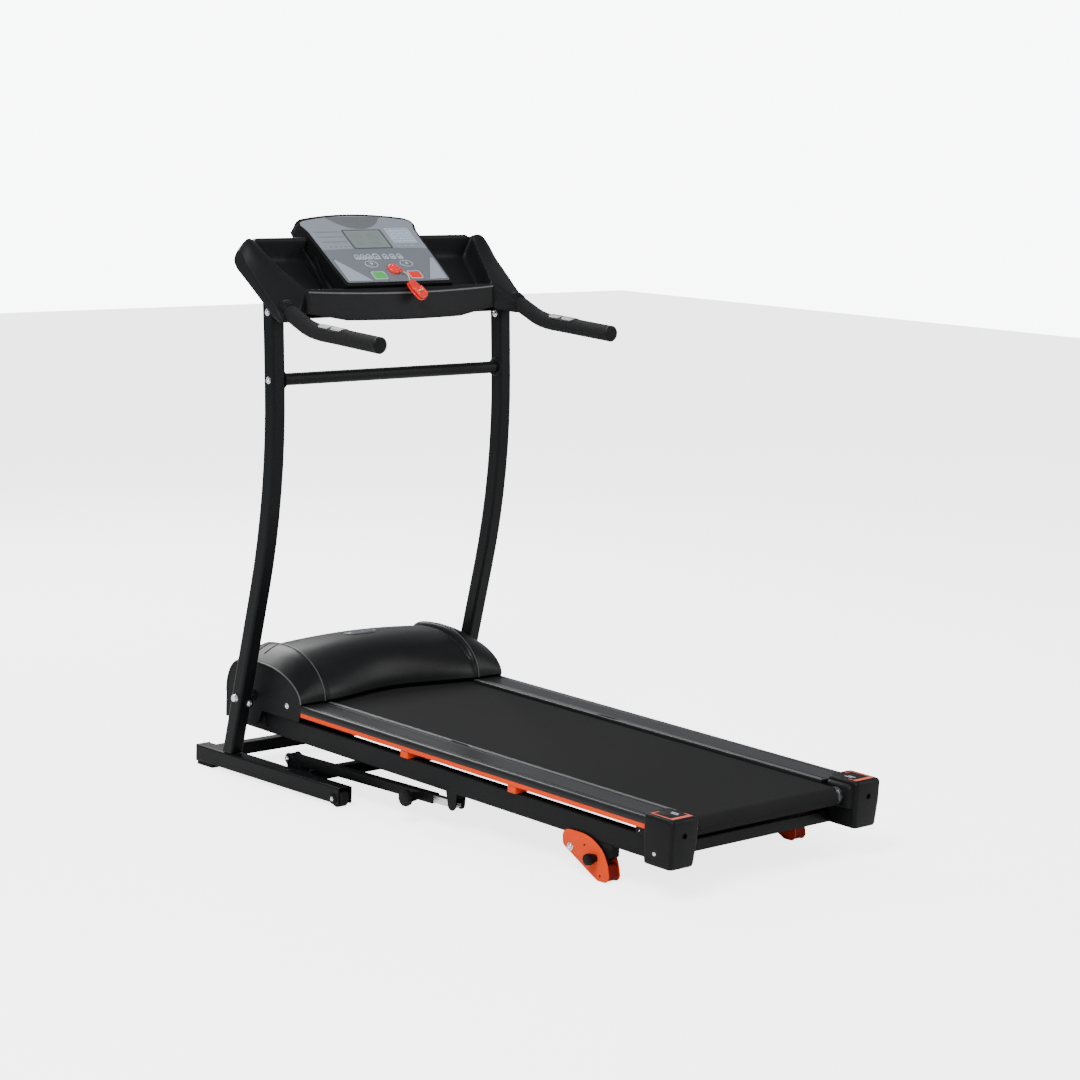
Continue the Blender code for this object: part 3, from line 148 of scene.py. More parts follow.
def make_surface(name, colour, roughness, metallic=0.0, grain=(900.0, 0.15), mottle=0.08,
                 edge_wear_and_highlight=0.0, coat=0.0, sheen=0.0, specular=0.5, stretch=(1.0, 1.0, 1.0)):
    """Principled material with fine bump, uneven tone and roughness, and edges lightened partly by wear and partly
    by a painted highlight.
    """
    material = bpy.data.materials.new(name)
    material.use_nodes = True
    nodes = material.node_tree.nodes
    link = material.node_tree.links.new
    shader = nodes["Principled BSDF"]
    for key, value in (("Metallic", metallic), ("Coat Weight", coat), ("Sheen Weight", sheen),
                       ("Specular IOR Level", specular)):
        shader.inputs[key].default_value = value
    place = add_node(nodes, "TexCoord")
    scale = add_node(nodes, "Mapping", {"Scale": stretch})
    link(place.outputs["Object"], scale.inputs["Vector"])
    fine = add_node(nodes, "TexNoise", {"Scale": grain[0], "Detail": 2.0})
    link(scale.outputs["Vector"], fine.inputs["Vector"])
    bump = add_node(nodes, "Bump", {"Strength": grain[1], "Distance": 0.0006})
    link(fine.outputs["Fac"], bump.inputs["Height"])
    link(bump.outputs["Normal"], shader.inputs["Normal"])
    broad = add_node(nodes, "TexNoise", {"Scale": 9.0, "Detail": 5.0})
    link(place.outputs["Object"], broad.inputs["Vector"])
    tone = add_node(nodes, "Mix", data_type="RGBA")
    tone.inputs["A"].default_value = mixed(colour, 1 - mottle)
    tone.inputs["B"].default_value = mixed(colour, 1 + mottle)
    link(broad.outputs["Fac"], tone.inputs["Factor"])
    surface = tone.outputs["Result"]
    if edge_wear_and_highlight:
        surface = lighten_edges_for_wear_and_highlight(nodes, link, surface, colour, edge_wear_and_highlight)
    link(surface, shader.inputs["Base Color"])
    gloss = add_node(nodes, "MapRange", {"To Min": max(roughness - 0.07, 0.03),
                     "To Max": min(roughness + 0.07, 1.0)})
    link(broad.outputs["Fac"], gloss.inputs["Value"])
    link(gloss.outputs["Result"], shader.inputs["Roughness"])
    return material


def lighten_edges_for_wear_and_highlight(nodes, link, surface, colour, amount):
    """Lightens the surface along its edges, where handling rubs it and where a painted highlight stands in for
    light catching them.
    """
    rounded_off = add_node(nodes, "Bevel", {"Radius": 0.0018}, samples=4)
    plain = add_node(nodes, "NewGeometry")
    facing = add_node(nodes, "VectorMath", operation="DOT_PRODUCT")
    link(rounded_off.outputs["Normal"], facing.inputs[0])
    link(plain.outputs["Normal"], facing.inputs[1])
    edge = add_node(nodes, "MapRange", {"From Min": 0.98, "From Max": 0.80, "To Max": amount})
    link(facing.outputs["Value"], edge.inputs["Value"])
    worn_and_lit = add_node(nodes, "Mix", data_type="RGBA")
    # Edge colour: partly rubbed wear, partly a painted highlight.
    worn_and_lit.inputs["B"].default_value = mixed(colour, 2.2, 0.05)
    link(edge.outputs["Result"], worn_and_lit.inputs["Factor"])
    link(surface, worn_and_lit.inputs["A"])
    return worn_and_lit.outputs["Result"]


def make_belt_surface():
    """Running belt: dark rubber with a fine diamond weave."""
    material = make_surface("belt_weave", (0.012, 0.012, 0.0122), 0.85, grain=(1600, 0.25),
            mottle=0.14, specular=0.06)
    nodes = material.node_tree.nodes
    link = material.node_tree.links.new
    place = add_node(nodes, "TexCoord")
    weave = add_node(nodes, "Math", operation="MULTIPLY")
    for number, direction in enumerate("XY"):
        wave = add_node(nodes, "TexWave", {"Scale": 130.0}, bands_direction=direction)
        turn = add_node(nodes, "Mapping", {"Rotation": (0.0, 0.0, math.radians(45))})
        link(place.outputs["Object"], turn.inputs["Vector"])
        link(turn.outputs["Vector"], wave.inputs["Vector"])
        link(wave.outputs["Fac"], weave.inputs[number])
    bump = add_node(nodes, "Bump", {"Strength": 0.35, "Distance": 0.0008})
    link(weave.outputs["Value"], bump.inputs["Height"])
    link(bump.outputs["Normal"], nodes["Bump"].inputs["Normal"])
    return material


def make_wood_surface():
    """Dark coated fibre board, with a faint streak along the deck."""
    return make_surface("coated_board", (0.03, 0.025, 0.021), 0.45, grain=(60, 0.2), mottle=0.25,
            stretch=(6.0, 0.6, 6.0))


# The wear amounts below lighten edges, partly as wear and partly as a painted edge highlight.
SURFACES = {
    "frame_paint": make_surface("powder_coat", (0.0042, 0.0044, 0.0049), 0.42,
                                grain=(700, 0.22), edge_wear_and_highlight=0.08, specular=0.11),
    "black_plastic": make_surface("grained_plastic", (0.0046, 0.0047, 0.0052), 0.46,
                                  grain=(1400, 0.30), edge_wear_and_highlight=0.06, specular=0.11),
    "hood": make_surface("hood_plastic", (0.0046, 0.0047, 0.0051), 0.34, grain=(1700, 0.22),
                         edge_wear_and_highlight=0.08, specular=0.16),
    "console": make_surface("console_plastic", (0.0052, 0.0053, 0.0060), 0.48,
                            grain=(1500, 0.32), edge_wear_and_highlight=0.12, specular=0.15),
    # Lighter grey for beads and rims along edges: a painted highlight.
    "lip": make_surface("painted_highlight_lip", (0.060, 0.062, 0.068), 0.36, grain=(1300, 0.2)),
    "rail": make_surface("rail_plastic", (0.0090, 0.0093, 0.0098), 0.30, grain=(1500, 0.05),
                         specular=0.20),
    # Lighter satin for the rail beads and strip: painted highlight lines.
    "bead": make_surface("painted_highlight_bead", (0.14, 0.145, 0.15), 0.40, metallic=0.5,
                         grain=(900, 0.15), stretch=(1.0, 0.1, 1.0)),
    "badge": make_surface("badge_satin", (0.050, 0.052, 0.058), 0.30, metallic=0.5,
                          grain=(1200, 0.15)),
    "dark_gap": make_surface("shadowed_plastic", (0.0022, 0.0022, 0.0024), 0.7,
                             grain=(900, 0.3), specular=0.1),
    "soft_black": make_surface("black_rubber", (0.0070, 0.0070, 0.0074), 0.72,
                               grain=(1100, 0.5), mottle=0.15, specular=0.12),
    "foam": make_surface("grip_foam", (0.0085, 0.0085, 0.0092), 0.78, grain=(1500, 0.8),
                         mottle=0.12, specular=0.14),
    "belt_black": make_belt_surface(),
    "orange": make_surface("orange_plastic", (0.66, 0.046, 0.003), 0.50, grain=(900, 0.18),
                           mottle=0.05, edge_wear_and_highlight=0.04, specular=0.12),
    "inner_red": make_surface("shaded_orange", (0.13, 0.005, 0.003), 0.50,
                              grain=(900, 0.2), specular=0.1),
    "label_red": make_surface("label_print", (0.66, 0.085, 0.040), 0.42, grain=(1600, 0.1)),
    "zinc": make_surface("bright_zinc", (0.70, 0.71, 0.73), 0.22, metallic=1.0,
                         grain=(500, 0.12), mottle=0.10),
    "brass": make_surface("spring_brass", (0.72, 0.48, 0.20), 0.30, metallic=1.0,
                          grain=(500, 0.12), mottle=0.10),
    "plate": make_surface("pulse_steel", (0.17, 0.175, 0.18), 0.42, metallic=0.8,
                          grain=(700, 0.2), stretch=(1.0, 0.15, 1.0)),
    "steel": make_surface("turned_steel", (0.46, 0.47, 0.48), 0.32, metallic=1.0,
                          grain=(300, 0.2), mottle=0.10, stretch=(8.0, 1.0, 1.0)),
    "board_wood": make_wood_surface(),
    "screen": make_surface("screen_glass", (0.150, 0.178, 0.172), 0.22, grain=(1400, 0.04),
                           mottle=0.03),
    "segment": make_surface("screen_segment", (0.125, 0.150, 0.145), 0.30,
                            grain=(1400, 0.05), mottle=0.02),
    "circuit_green": make_surface("circuit_board", (0.010, 0.09, 0.035), 0.35,
                                  grain=(260, 0.4), mottle=0.25),
    "red": make_surface("glossy_red", (0.66, 0.010, 0.005), 0.34, grain=(600, 0.08),
                        mottle=0.06, coat=0.2),
    "green": make_surface("glossy_green", (0.045, 0.36, 0.06), 0.34, grain=(600, 0.08),
                          mottle=0.06, coat=0.1),
    "beige": make_surface("braided_cord", (0.62, 0.50, 0.33), 0.8, grain=(2600, 0.9),
                          mottle=0.15, sheen=0.3),
}
PRINTED = (("grey", (0.118, 0.130, 0.152), 0.40, 0.03), ("dark", (0.118, 0.130, 0.152), 0.40, 0.03),
           ("light", (0.185, 0.208, 0.240), 0.40, 0.03), ("pale", (0.26, 0.29, 0.34), 0.40, 0.03),
           ("white", (0.48, 0.54, 0.62), 0.42, 0.02), ("blue", (0.34, 0.47, 0.66), 0.42, 0.04),
           ("line", (0.050, 0.056, 0.066), 0.42, 0.04),
           ("badge", (0.100, 0.104, 0.112), 0.38, 0.03))
for shade, colour, roughness, mottle in PRINTED:
    SURFACES[f"face_{shade}"] = make_surface(f"printed_{shade}", colour, roughness,
            grain=(2400, 0.1), mottle=mottle)


def dress_cad_nodes():
    """Gives every carried-over CAD node the finish of its slot."""
    slots = {entry["node"]: entry["material_slot"] for entry in frame["record"]["subparts"]}
    for name, node in NODES.items():
        node.data.materials.clear()
        node.data.materials.append(SURFACES[slots[name]])


# -------------------------------------------------------------- shape helpers

def emit(name, form, body, surface, place=None, slot="black_plastic", replaces=(), sharp=35.0,
         bevel=0.0, subdivide=0, thickness=0.0):
    """Makes a piece of (vertices, faces), gives it its finish and rides it on a CAD body."""
    verts, faces = form
    mesh = bpy.data.meshes.new(name)
    shape = bmesh.new()
    made = [shape.verts.new(v) for v in verts]
    for face in faces:
        shape.faces.new([made[i] for i in face])
    bmesh.ops.remove_doubles(shape, verts=shape.verts, dist=0.00001)
    bmesh.ops.recalc_face_normals(shape, faces=shape.faces)
    if place is not None:
        bmesh.ops.transform(shape, matrix=place, verts=shape.verts)
    shape.to_mesh(mesh)
    shape.free()
    piece = bpy.data.objects.new(name, mesh)
    bpy.context.scene.collection.objects.link(piece)
    mesh.materials.append(SURFACES[surface])
    mesh.shade_smooth()
    mesh.set_sharp_from_angle(angle=math.radians(sharp))
    if thickness:
        wall = piece.modifiers.new("wall", "SOLIDIFY")
        wall.thickness = abs(thickness)
        wall.offset = -1.0 if thickness > 0 else 1.0
    if bevel:
        edge = piece.modifiers.new("edges", "BEVEL")
        edge.width = bevel
        edge.segments = 3
        edge.limit_method = "ANGLE"
        edge.angle_limit = math.radians(35)
        edge.harden_normals = True
    if subdivide:
        subdivision = piece.modifiers.new("rounding", "SUBSURF")
        subdivision.levels = subdivision.render_levels = subdivide
    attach(piece, body)
    if replaces:
        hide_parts(*replaces)
    return piece


def grid(rows, closed=False, caps=False):
    """Vertices and faces of a skin over rows of points."""
    count = len(rows[0])
    verts = [point for row in rows for point in row]
    faces = []
    for r in range(len(rows) - 1):
        for i in range(count if closed else count - 1):
            j = (i + 1) % count
            faces.append((r * count + i, r * count + j, (r + 1) * count + j, (r + 1) * count + i))
    if caps:
        faces.append(tuple(range(count)))
        faces.append(tuple(reversed(range((len(rows) - 1) * count, len(rows) * count))))
    return verts, faces


def prism(outline, low, high):
    """A flat outline (x, y) with a thickness in z."""
    count = len(outline)
    verts = [(x, y, low) for x, y in outline] + [(x, y, high) for x, y in outline]
    faces = [tuple(range(count)), tuple(range(count, 2 * count))]
    for i in range(count):
        j = (i + 1) % count
        faces.append((i, j, count + j, count + i))
    return verts, faces


def lathe(profile, segments=32, ring=False):
    """A turned form about z; the profile is (radius, height), and a ring is left open."""
    rows = []
    for radius, height in profile:
        rows.append([(radius * math.cos(a), radius * math.sin(a), height)
                    for a in turns(segments)])
    if ring:
        rows.append(rows[0])
    return grid(rows, closed=True, caps=not ring)


def along(start, direction):
    """Matrix that stands a form's z axis at a point, along a direction."""
    turn = Vector(direction).to_track_quat("Z", "Y").to_matrix().to_4x4()
    return Matrix.Translation(Vector(start)) @ turn


def smooth_line(points, steps):
    """Catmull-Rom curve through points."""
    points = [Vector(p) for p in points]
    line = []
    for i in range(len(points) - 1):
        before = points[max(i - 1, 0)]
        here, after = points[i], points[i + 1]
        beyond = points[min(i + 2, len(points) - 1)]
        for step in range(steps):
            t = step / steps
            line.append(0.5 * (2 * here + (after - before) * t
                        + (2 * before - 5 * here + 4 * after - beyond) * t * t
                        + (3 * here - before - 3 * after + beyond) * t ** 3))
    line.append(points[-1])
    return line


def sweep(line, radii, segments=24, caps=True):
    """A round bar along a line, with a radius at each point."""
    if isinstance(radii, float):
        radii = [radii] * len(line)
    line = [Vector(p) for p in line]
    normal = (line[1] - line[0]).orthogonal().normalized()
    rows = []
    for i, centre in enumerate(line):
        ahead = line[min(i + 1, len(line) - 1)] - line[max(i - 1, 0)]
        ahead.normalize()
        normal = (normal - ahead * normal.dot(ahead)).normalized()
        side = ahead.cross(normal)
        rows.append([tuple(centre + (normal * math.cos(a) + side * math.sin(a)) * radii[i])
                    for a in turns(segments)])
    return grid(rows, closed=True, caps=caps)


def rounded_box(name, low, high, body, surface, place=None, bevel=0.002, **more):
    (x0, y0, z0), (x1, y1, z1) = low, high
    return emit(name, prism([(x0, y0), (x1, y0), (x1, y1), (x0, y1)], z0, z1), body, surface,
                place, bevel=bevel, **more)


def bolt_head(name, point, direction, radius, height, body, surface="zinc", slot="zinc",
              socket=True):
    """Domed bolt head with a washer and a socket, standing on a surface."""
    profile = [(radius * 1.35, 0.0), (radius * 1.35, height * 0.22),
                (radius * 1.28, height * 0.3), (radius, height * 0.32),
                (radius * 0.98, height * 0.6), (radius * 0.86, height * 0.85),
                (radius * 0.62, height)]
    if socket:
        profile += [(radius * 0.40, height), (radius * 0.38, height * 0.55)]
    return emit(name, lathe(profile, 24), body, surface, along(point, direction), slot=slot,
                sharp=40)


def turns(count):
    """Angles at even steps round a full circle."""
    return [2 * math.pi * i / count for i in range(count)]


def arc(centre, radius, start, end, steps):
    angles = [math.radians(start + (end - start) * i / steps) for i in range(steps + 1)]
    return [(centre[0] + radius * math.cos(a), centre[1] + radius * math.sin(a)) for a in angles]


def ring_plate(outline_out, outline_in, low, high):
    """A flat frame between two outlines that have the same number of points."""
    rows = []
    for outline, z in ((outline_out, low), (outline_out, high), (outline_in, high),
                       (outline_in, low), (outline_out, low)):
        rows.append([(x, y, z) for x, y in outline])
    return grid(rows, closed=True)


# ----------------------------------------------------------------- motor cover

HOOD_EDGE = 0.0135          # height of the skin's rear edge
HOOD_SIDE = 0.3150          # half width of the hood
BADGE = (0.0480, 0.535, 0.040)   # half width, then place and half height along the section


def hood_crest(x):
    """Crest height: a central dome, a groove, then a side band that falls away."""
    across = abs(x)
    dome = 0.1225 - 0.0115 * (across / 0.225) ** 2
    if across <= 0.2255:
        return dome
    if across < 0.2330:
        return dome - 0.0042 * math.sin(math.pi * (across - 0.2255) / 0.0150)
    if across < 0.2410:
        rise = (across - 0.2330) / 0.0080
        return 0.1065 + 0.0125 * math.sin(rise * math.pi / 2)
    fall = (across - 0.2410) / 0.0740
    return 0.1190 - 0.0340 * fall ** 1.7


def hood_rear(x):
    """Rear edge: a shallow arch over the belt."""
    across = min(abs(x) / 0.2500, 1.0)
    return -0.1440 - 0.0385 * across ** 2 * (3 - 2 * across)


def hood_line(x, steps=5):
    """Hood section from its front foot over the crest to the rear edge, in the deck frame."""
    crest = hood_crest(x)
    bulge = 0.0035 * (1 - (abs(x) / 0.315) ** 4)
    rear = hood_rear(x)
    points = [(x, 0.105, -0.0695), (x, 0.1055 + bulge, -0.03), (x, 0.104 + bulge, 0.012),
               (x, 0.099 + bulge, 0.4 * crest), (x, 0.09 + bulge, 0.62 * crest),
               (x, 0.074, 0.81 * crest), (x, 0.048, 0.935 * crest), (x, 0.01, 0.992 * crest)]
    for angle in range(0, 91, 15):
        turn = math.radians(angle)
        fall = math.sin(turn)
        reach = rear if abs(x) > 0.2270 else -0.1500 + (rear + 0.1500) * fall ** 2
        points.append((x, -0.03 + (reach + 0.03) * fall, HOOD_EDGE
                      + (crest - HOOD_EDGE) * math.cos(turn) ** 1.1))
    return smooth_line(points, steps)


def make_hood():
    half = [0.0, 0.04, 0.08, 0.12, 0.155, 0.185, 0.208, 0.221, 0.2255, 0.229, 0.2328, 0.2345,
            0.237, 0.2405, 0.246, 0.258, 0.272, 0.286, 0.298, 0.307, 0.3125, 0.315]
    stations = [-x for x in reversed(half[1:])] + half
    rows = [hood_line(x) for x in stations]
    emit("hood_shell", grid(rows), "deck", "hood", DECK, replaces=("motor_hood",), sharp=50,
         thickness=0.0022)
    for side, sign in SIDES:
        x = sign * HOOD_SIDE
        arch = [(p.y, p.z) for p in hood_line(x)]
        outline = arch + [(-0.1825, -0.013), (-0.175, -0.03), (-0.035, -0.03), (-0.02, -0.0695)]
        turn = DECK @ Matrix(((0, 0, 1, 0), (1, 0, 0, 0), (0, 1, 0, 0), (0, 0, 0, 1)))
        low, high = sorted((x - sign * 0.0026, x - sign * 0.0004))
        emit(f"{side}_hood_wall", prism(outline, low, high), "deck", "black_plastic", turn)
        # Lighter bead along the side arch: a painted highlight line.
        lip = [Vector((x, p.y, p.z)) for p in hood_line(x, 4)][6:]
        emit(f"{side}_hood_lip", sweep(lip, 0.0016, 8), "deck", "lip", DECK)
        # Lighter bead along the band's inner edge: a painted highlight line.
        ridge = [Vector((sign * 0.2412, p.y, p.z + 0.0004)) for p in hood_line(0.2412, 4)][14:]
        emit(f"{side}_band_ridge", sweep(ridge, 0.0011, 8), "deck", "lip", DECK)
        for number, share in enumerate((0.475, 0.530)):
            make_hood_slit(f"{side}_hood_slit_{number}", sign, share)
        bolt_head(f"{side}_hood_screw", DECK @ Vector((x, -0.131, 0.001)), (sign, 0, 0), 0.0052,
                  0.0034, "deck")
        boss = [(0.0135, 0.0), (0.0135, 0.001), (0.012, 0.0018), (0.0098, 0.0018),
                 (0.0098, 0.0004)]
        emit(f"{side}_hood_boss", lathe(boss, 28), "deck", "black_plastic",
             along(DECK @ Vector((x, 0, 0)), (sign, 0, 0)))
    make_hood_badge()
    make_hood_vents()


def hood_patch(x, share, lift=0.0):
    """Point on the hood at a share of the way along its section, lifted off it a little."""
    line = hood_line(x)
    place = share * (len(line) - 1)
    i = min(int(place), len(line) - 2)
    here = line[i].lerp(line[i + 1], place - i)
    run = (line[i + 1] - line[i]).normalized()
    up = Vector((0.0, run.z, -run.y))
    if up.z < 0:
        up.negate()
    return here + up * lift


def make_hood_slit(name, sign, share):
    """A narrow dark vent across a side band."""
    rows = []
    for step in range(9):
        x = sign * (0.2500 + 0.0420 * step / 8)
        skew = share + 0.006 * step / 8
        ring = []
        for offset, lift in ((-0.0042, -0.0004), (-0.0034, 0.0005), (0.0034, 0.0005),
                             (0.0042, -0.0004)):
            ring.append(hood_patch(x, skew + offset, lift))
        rows.append(ring)
    emit(name, grid(rows, closed=True, caps=True), "deck", "dark_gap", DECK, sharp=60)


def badge_ring(scale, lift):
    """Forty points round the badge, on the hood's skin."""
    across, place, height = BADGE
    return [hood_patch(across * scale * math.cos(a), place + height * scale * math.sin(a), lift)
                       for a in turns(40)]


def make_hood_badge():
    """Blank oval badge on the crest: a raised rim round a satin plate."""
    rim, plate = [], []
    for scale, lift in ((1.0, 0.0002), (1.0, 0.0012), (0.94, 0.0018), (0.86, 0.0014)):
        rim.append(badge_ring(scale, lift))
    for scale in (0.86, 0.6, 0.3, 0.02):
        plate.append(badge_ring(scale, 0.0013))
    emit("hood_badge_rim", grid(rim, closed=True), "deck", "lip", DECK, thickness=0.0008)
    emit("hood_badge_plate", grid(plate, closed=True), "deck", "badge", DECK, thickness=0.0006)


def make_hood_vents():
    """Rows of cooling slots on the front of the hood."""
    for side, sign in SIDES:
        for number in range(7):
            x = sign * (0.045 + 0.013 * number)
            rows = []
            for share in (0.170, 0.180, 0.220, 0.260, 0.270):
                rows.append([hood_patch(x + dx, share, 0.0) + Vector((0, lift, 0)) for dx,
                            lift in ((-0.0026, -0.0006), (-0.0018, 0.0005), (0.0018, 0.0005),
                            (0.0026, -0.0006))])
            emit(f"{side}_front_vent_{number}", grid(rows, closed=True, caps=True), "deck",
                 "dark_gap", DECK, sharp=60)


# --------------------------------------------------------------------- console

FACE_TOP = 0.0052
PRINT = FACE_TOP + 0.0003


def console_ring(kind, q=0.0):
    """Shell section in the console frame, from the apron's inner edge to the back's foot.

    kind is bay, tray or cheek; q runs from 0 at the tray's side to 1 at the outer edge.
    """
    if kind == "bay":
        floor = -0.0335
        return [(-0.03, -0.056), (-0.045, -0.052), (-0.047, -0.049), (-0.03, -0.0305),
                 (-0.0075, -0.0065), (-0.003, -0.001), (0.0, 0.0008), (0.003, -0.0008),
                 (0.0042, -0.006), (0.005, floor + 0.004), (0.009, floor), (0.06, floor),
                 (0.12, floor), (0.17, floor), (0.18, floor), (0.184, floor),
                 (0.187, floor - 0.001), (0.19, floor - 0.004), (0.191, floor - 0.008),
                 (0.186, -0.05), (0.178, -0.06), (0.165, -0.064)]
    if kind == "tray":
        floor = -0.0465
        front = 0.010 * q
        return [(-0.026 + front, -0.056 + front), (-0.0455 + front, -0.052 + front),
                 (-0.047 + front, -0.049 + front), (-0.028 + front / 2, -0.0285 + front / 2),
                 (-0.0075, -0.0065), (-0.003, -0.001), (0.0, 0.0008), (0.0035, -0.0002),
                 (0.0055, -0.0045), (0.0095, -0.04), (0.015, floor), (0.06, floor), (0.12, floor),
                 (0.15, floor), (0.158, -0.038), (0.172, -0.008), (0.1745, 0.0005), (0.18, 0.002),
                 (0.188, -0.001), (0.196, -0.015), (0.19, -0.055), (0.168, -0.064)]
    ease = q * q
    nose = math.sin(min(q * 1.45, 1.0) * math.pi / 2)
    front = -0.0030 - 0.0580 * nose
    side = -0.004 * q - 0.020 * ease
    back = 0.1800 - 0.0240 * ease
    low = -0.0500 + 0.004 * q + 0.002 * nose
    top_back = 0.0040 + 0.010 * math.sin(q * math.pi) - 0.016 * ease
    ramp = [front + (back - front) * t for t in (0.06, 0.14, 0.28, 0.42, 0.56, 0.70, 0.82, 0.90)]
    tops = [side - 0.004 * nose, side - 0.001 * nose, side, side * 0.9, side * 0.8, side * 0.6
            + top_back * 0.3, side * 0.4 + top_back * 0.6, top_back]
    ring = [(-0.01 - 0.022 * nose, low - 0.003), (-0.034 - 0.02 * nose, low), (front
             - 0.004 * nose - 0.02 * (1 - nose), low + 0.004 + 0.002 * nose), (front
             - 0.004 * nose - 0.01 * (1 - nose), -0.034 - 0.002 * nose), (front - 0.002,
             -0.014 - 0.008 * nose), (front, side - 0.008 * nose - 0.001)]
    ring += list(zip(ramp, tops))
    ring += [(0.955 * back, top_back), (0.985 * back, top_back - 0.001), (back, top_back - 0.005),
              (back + 0.003, -0.012 - 0.006 * q), (back + 0.004, -0.026 - 0.002 * q),
              (back, -0.042), (back - 0.008, low - 0.002), (back - 0.02, low - 0.006)]
    return ring


LIP_HALF = 0.2900           # half width of the bowed front lip


def lip_bow(x):
    """How far the front lip stands forward of a straight line."""
    return 0.0125 * (1 - (x / LIP_HALF) ** 2)


CONSOLE_ROWS = (("bay", 0.0, 0.000, 0.000), ("bay", 0.0, 0.070, 0.070),
                ("bay", 0.0, 0.140, 0.140), ("bay", 0.0, 0.1700, 0.1700),
                ("bay", 0.0, 0.1740, 0.1740), ("tray", 0.0, 0.1765, 0.1765),
                ("tray", 0.05, 0.1800, 0.1800), ("tray", 0.3, 0.2050, 0.2110),
                ("tray", 0.7, 0.2480, 0.2700), ("tray", 0.95, 0.2800, 0.3190),
                ("tray", 1.0, 0.2850, 0.3270), ("cheek", 0.0, 0.2900, 0.3370),
                ("cheek", 0.04, 0.2960, 0.3410), ("cheek", 0.18, 0.3080, 0.3480),
                ("cheek", 0.36, 0.3230, 0.3570), ("cheek", 0.56, 0.3410, 0.3660),
                ("cheek", 0.76, 0.3590, 0.3750), ("cheek", 0.90, 0.3730, 0.3810),
                ("cheek", 0.97, 0.3810, 0.3838), ("cheek", 1.0, 0.3838, 0.3848))


def make_console_shell():
    half = []
    for kind, q, x_front, x_back in CONSOLE_ROWS:
        row = []
        bow = lip_bow(x_front) if kind != "cheek" else 0.0
        for number, (y, z) in enumerate(console_ring(kind, q)):
            share = max(0.0, min(y / 0.172, 1.0))
            forward = bow if number <= 5 else 0.4 * bow if number == 6 else 0.0
            row.append((x_front + (x_back - x_front) * share, y - forward, z))
        half.append(row)
    rows = [[(-x, y, z) for x, y, z in row] for row in reversed(half[1:])] + half
    verts, faces = grid(rows)
    count = len(rows[0])
    last = (len(rows) - 1) * count
    faces.append(tuple(range(count)))
    faces.append(tuple(last + i for i in range(count)))
    emit("console_moulding", (verts, faces), "base", "console", CONSOLE,
         replaces=("console_shell",), sharp=60, thickness=0.0024, subdivide=2)


def make_console():
    make_console_shell()
    make_face_panel()
    make_pod_back()
    make_tray_details()
    make_keys()


def pod_outline(inset):
    """Outline of the display pod, anticlockwise; inset draws it inwards."""
    right = [(0.162, 0.007 + inset), (0.1655, 0.0115 + inset), (0.169, 0.08), (0.1715, 0.198),
              (0.18, 0.222), (0.177, 0.236 - 0.6 * inset)]
    right = [(x - inset, y) for x, y in right]
    steps = [0.160 - 0.040 * i for i in range(9)]
    top = [(x * (1 - 0.7 * inset / 0.16), 0.262 - inset - 0.016 * (x / 0.16) ** 2) for x in steps]
    left = [(-x, y) for x, y in reversed(right)]
    return right + top + left


def face_piece(name, outline, surface, low=FACE_TOP, high=PRINT + 0.00025, bevel=0.0):
    """A printed or raised area lying on the display's face."""
    return emit(name, prism(outline, low, high), "base", surface, CONSOLE, slot="face_grey",
                bevel=bevel)


def face_frame(name, outline, inset, surface, low=FACE_TOP, high=PRINT + 0.0003):
    """A thin printed line round an outline."""
    middle = Vector((sum(x for x, _ in outline), sum(y for _, y in outline))) / len(outline)
    inner = []
    for x, y in outline:
        offset = Vector((x, y)) - middle
        inner.append(tuple(middle + offset * (1 - inset / offset.length)))
    return emit(name, ring_plate(outline, inner, low, high), "base", surface, CONSOLE,
                slot="face_grey")


def rounded(x0, y0, x1, y1, corner, steps=5):
    """Rectangle with round corners, anticlockwise."""
    points = []
    for centre, start in (((x1 - corner, y1 - corner), 0), ((x0 + corner, y1 - corner), 90),
                          ((x0 + corner, y0 + corner), 180), ((x1 - corner, y0 + corner), 270)):
        points += arc(centre, corner, start, start + 90, steps)
    return points


LCD = (-0.0580, 0.1400, 0.0510, 0.1960)
KEYS = (("start", (-0.0700, 0.0200, -0.0290, 0.0540), "green"),
        ("stop", (0.0410, 0.0200, 0.0800, 0.0540), "red"))
ARROWS = (("slower", (-0.0470, 0.0780), -1), ("faster", (0.0600, 0.0780), 1))


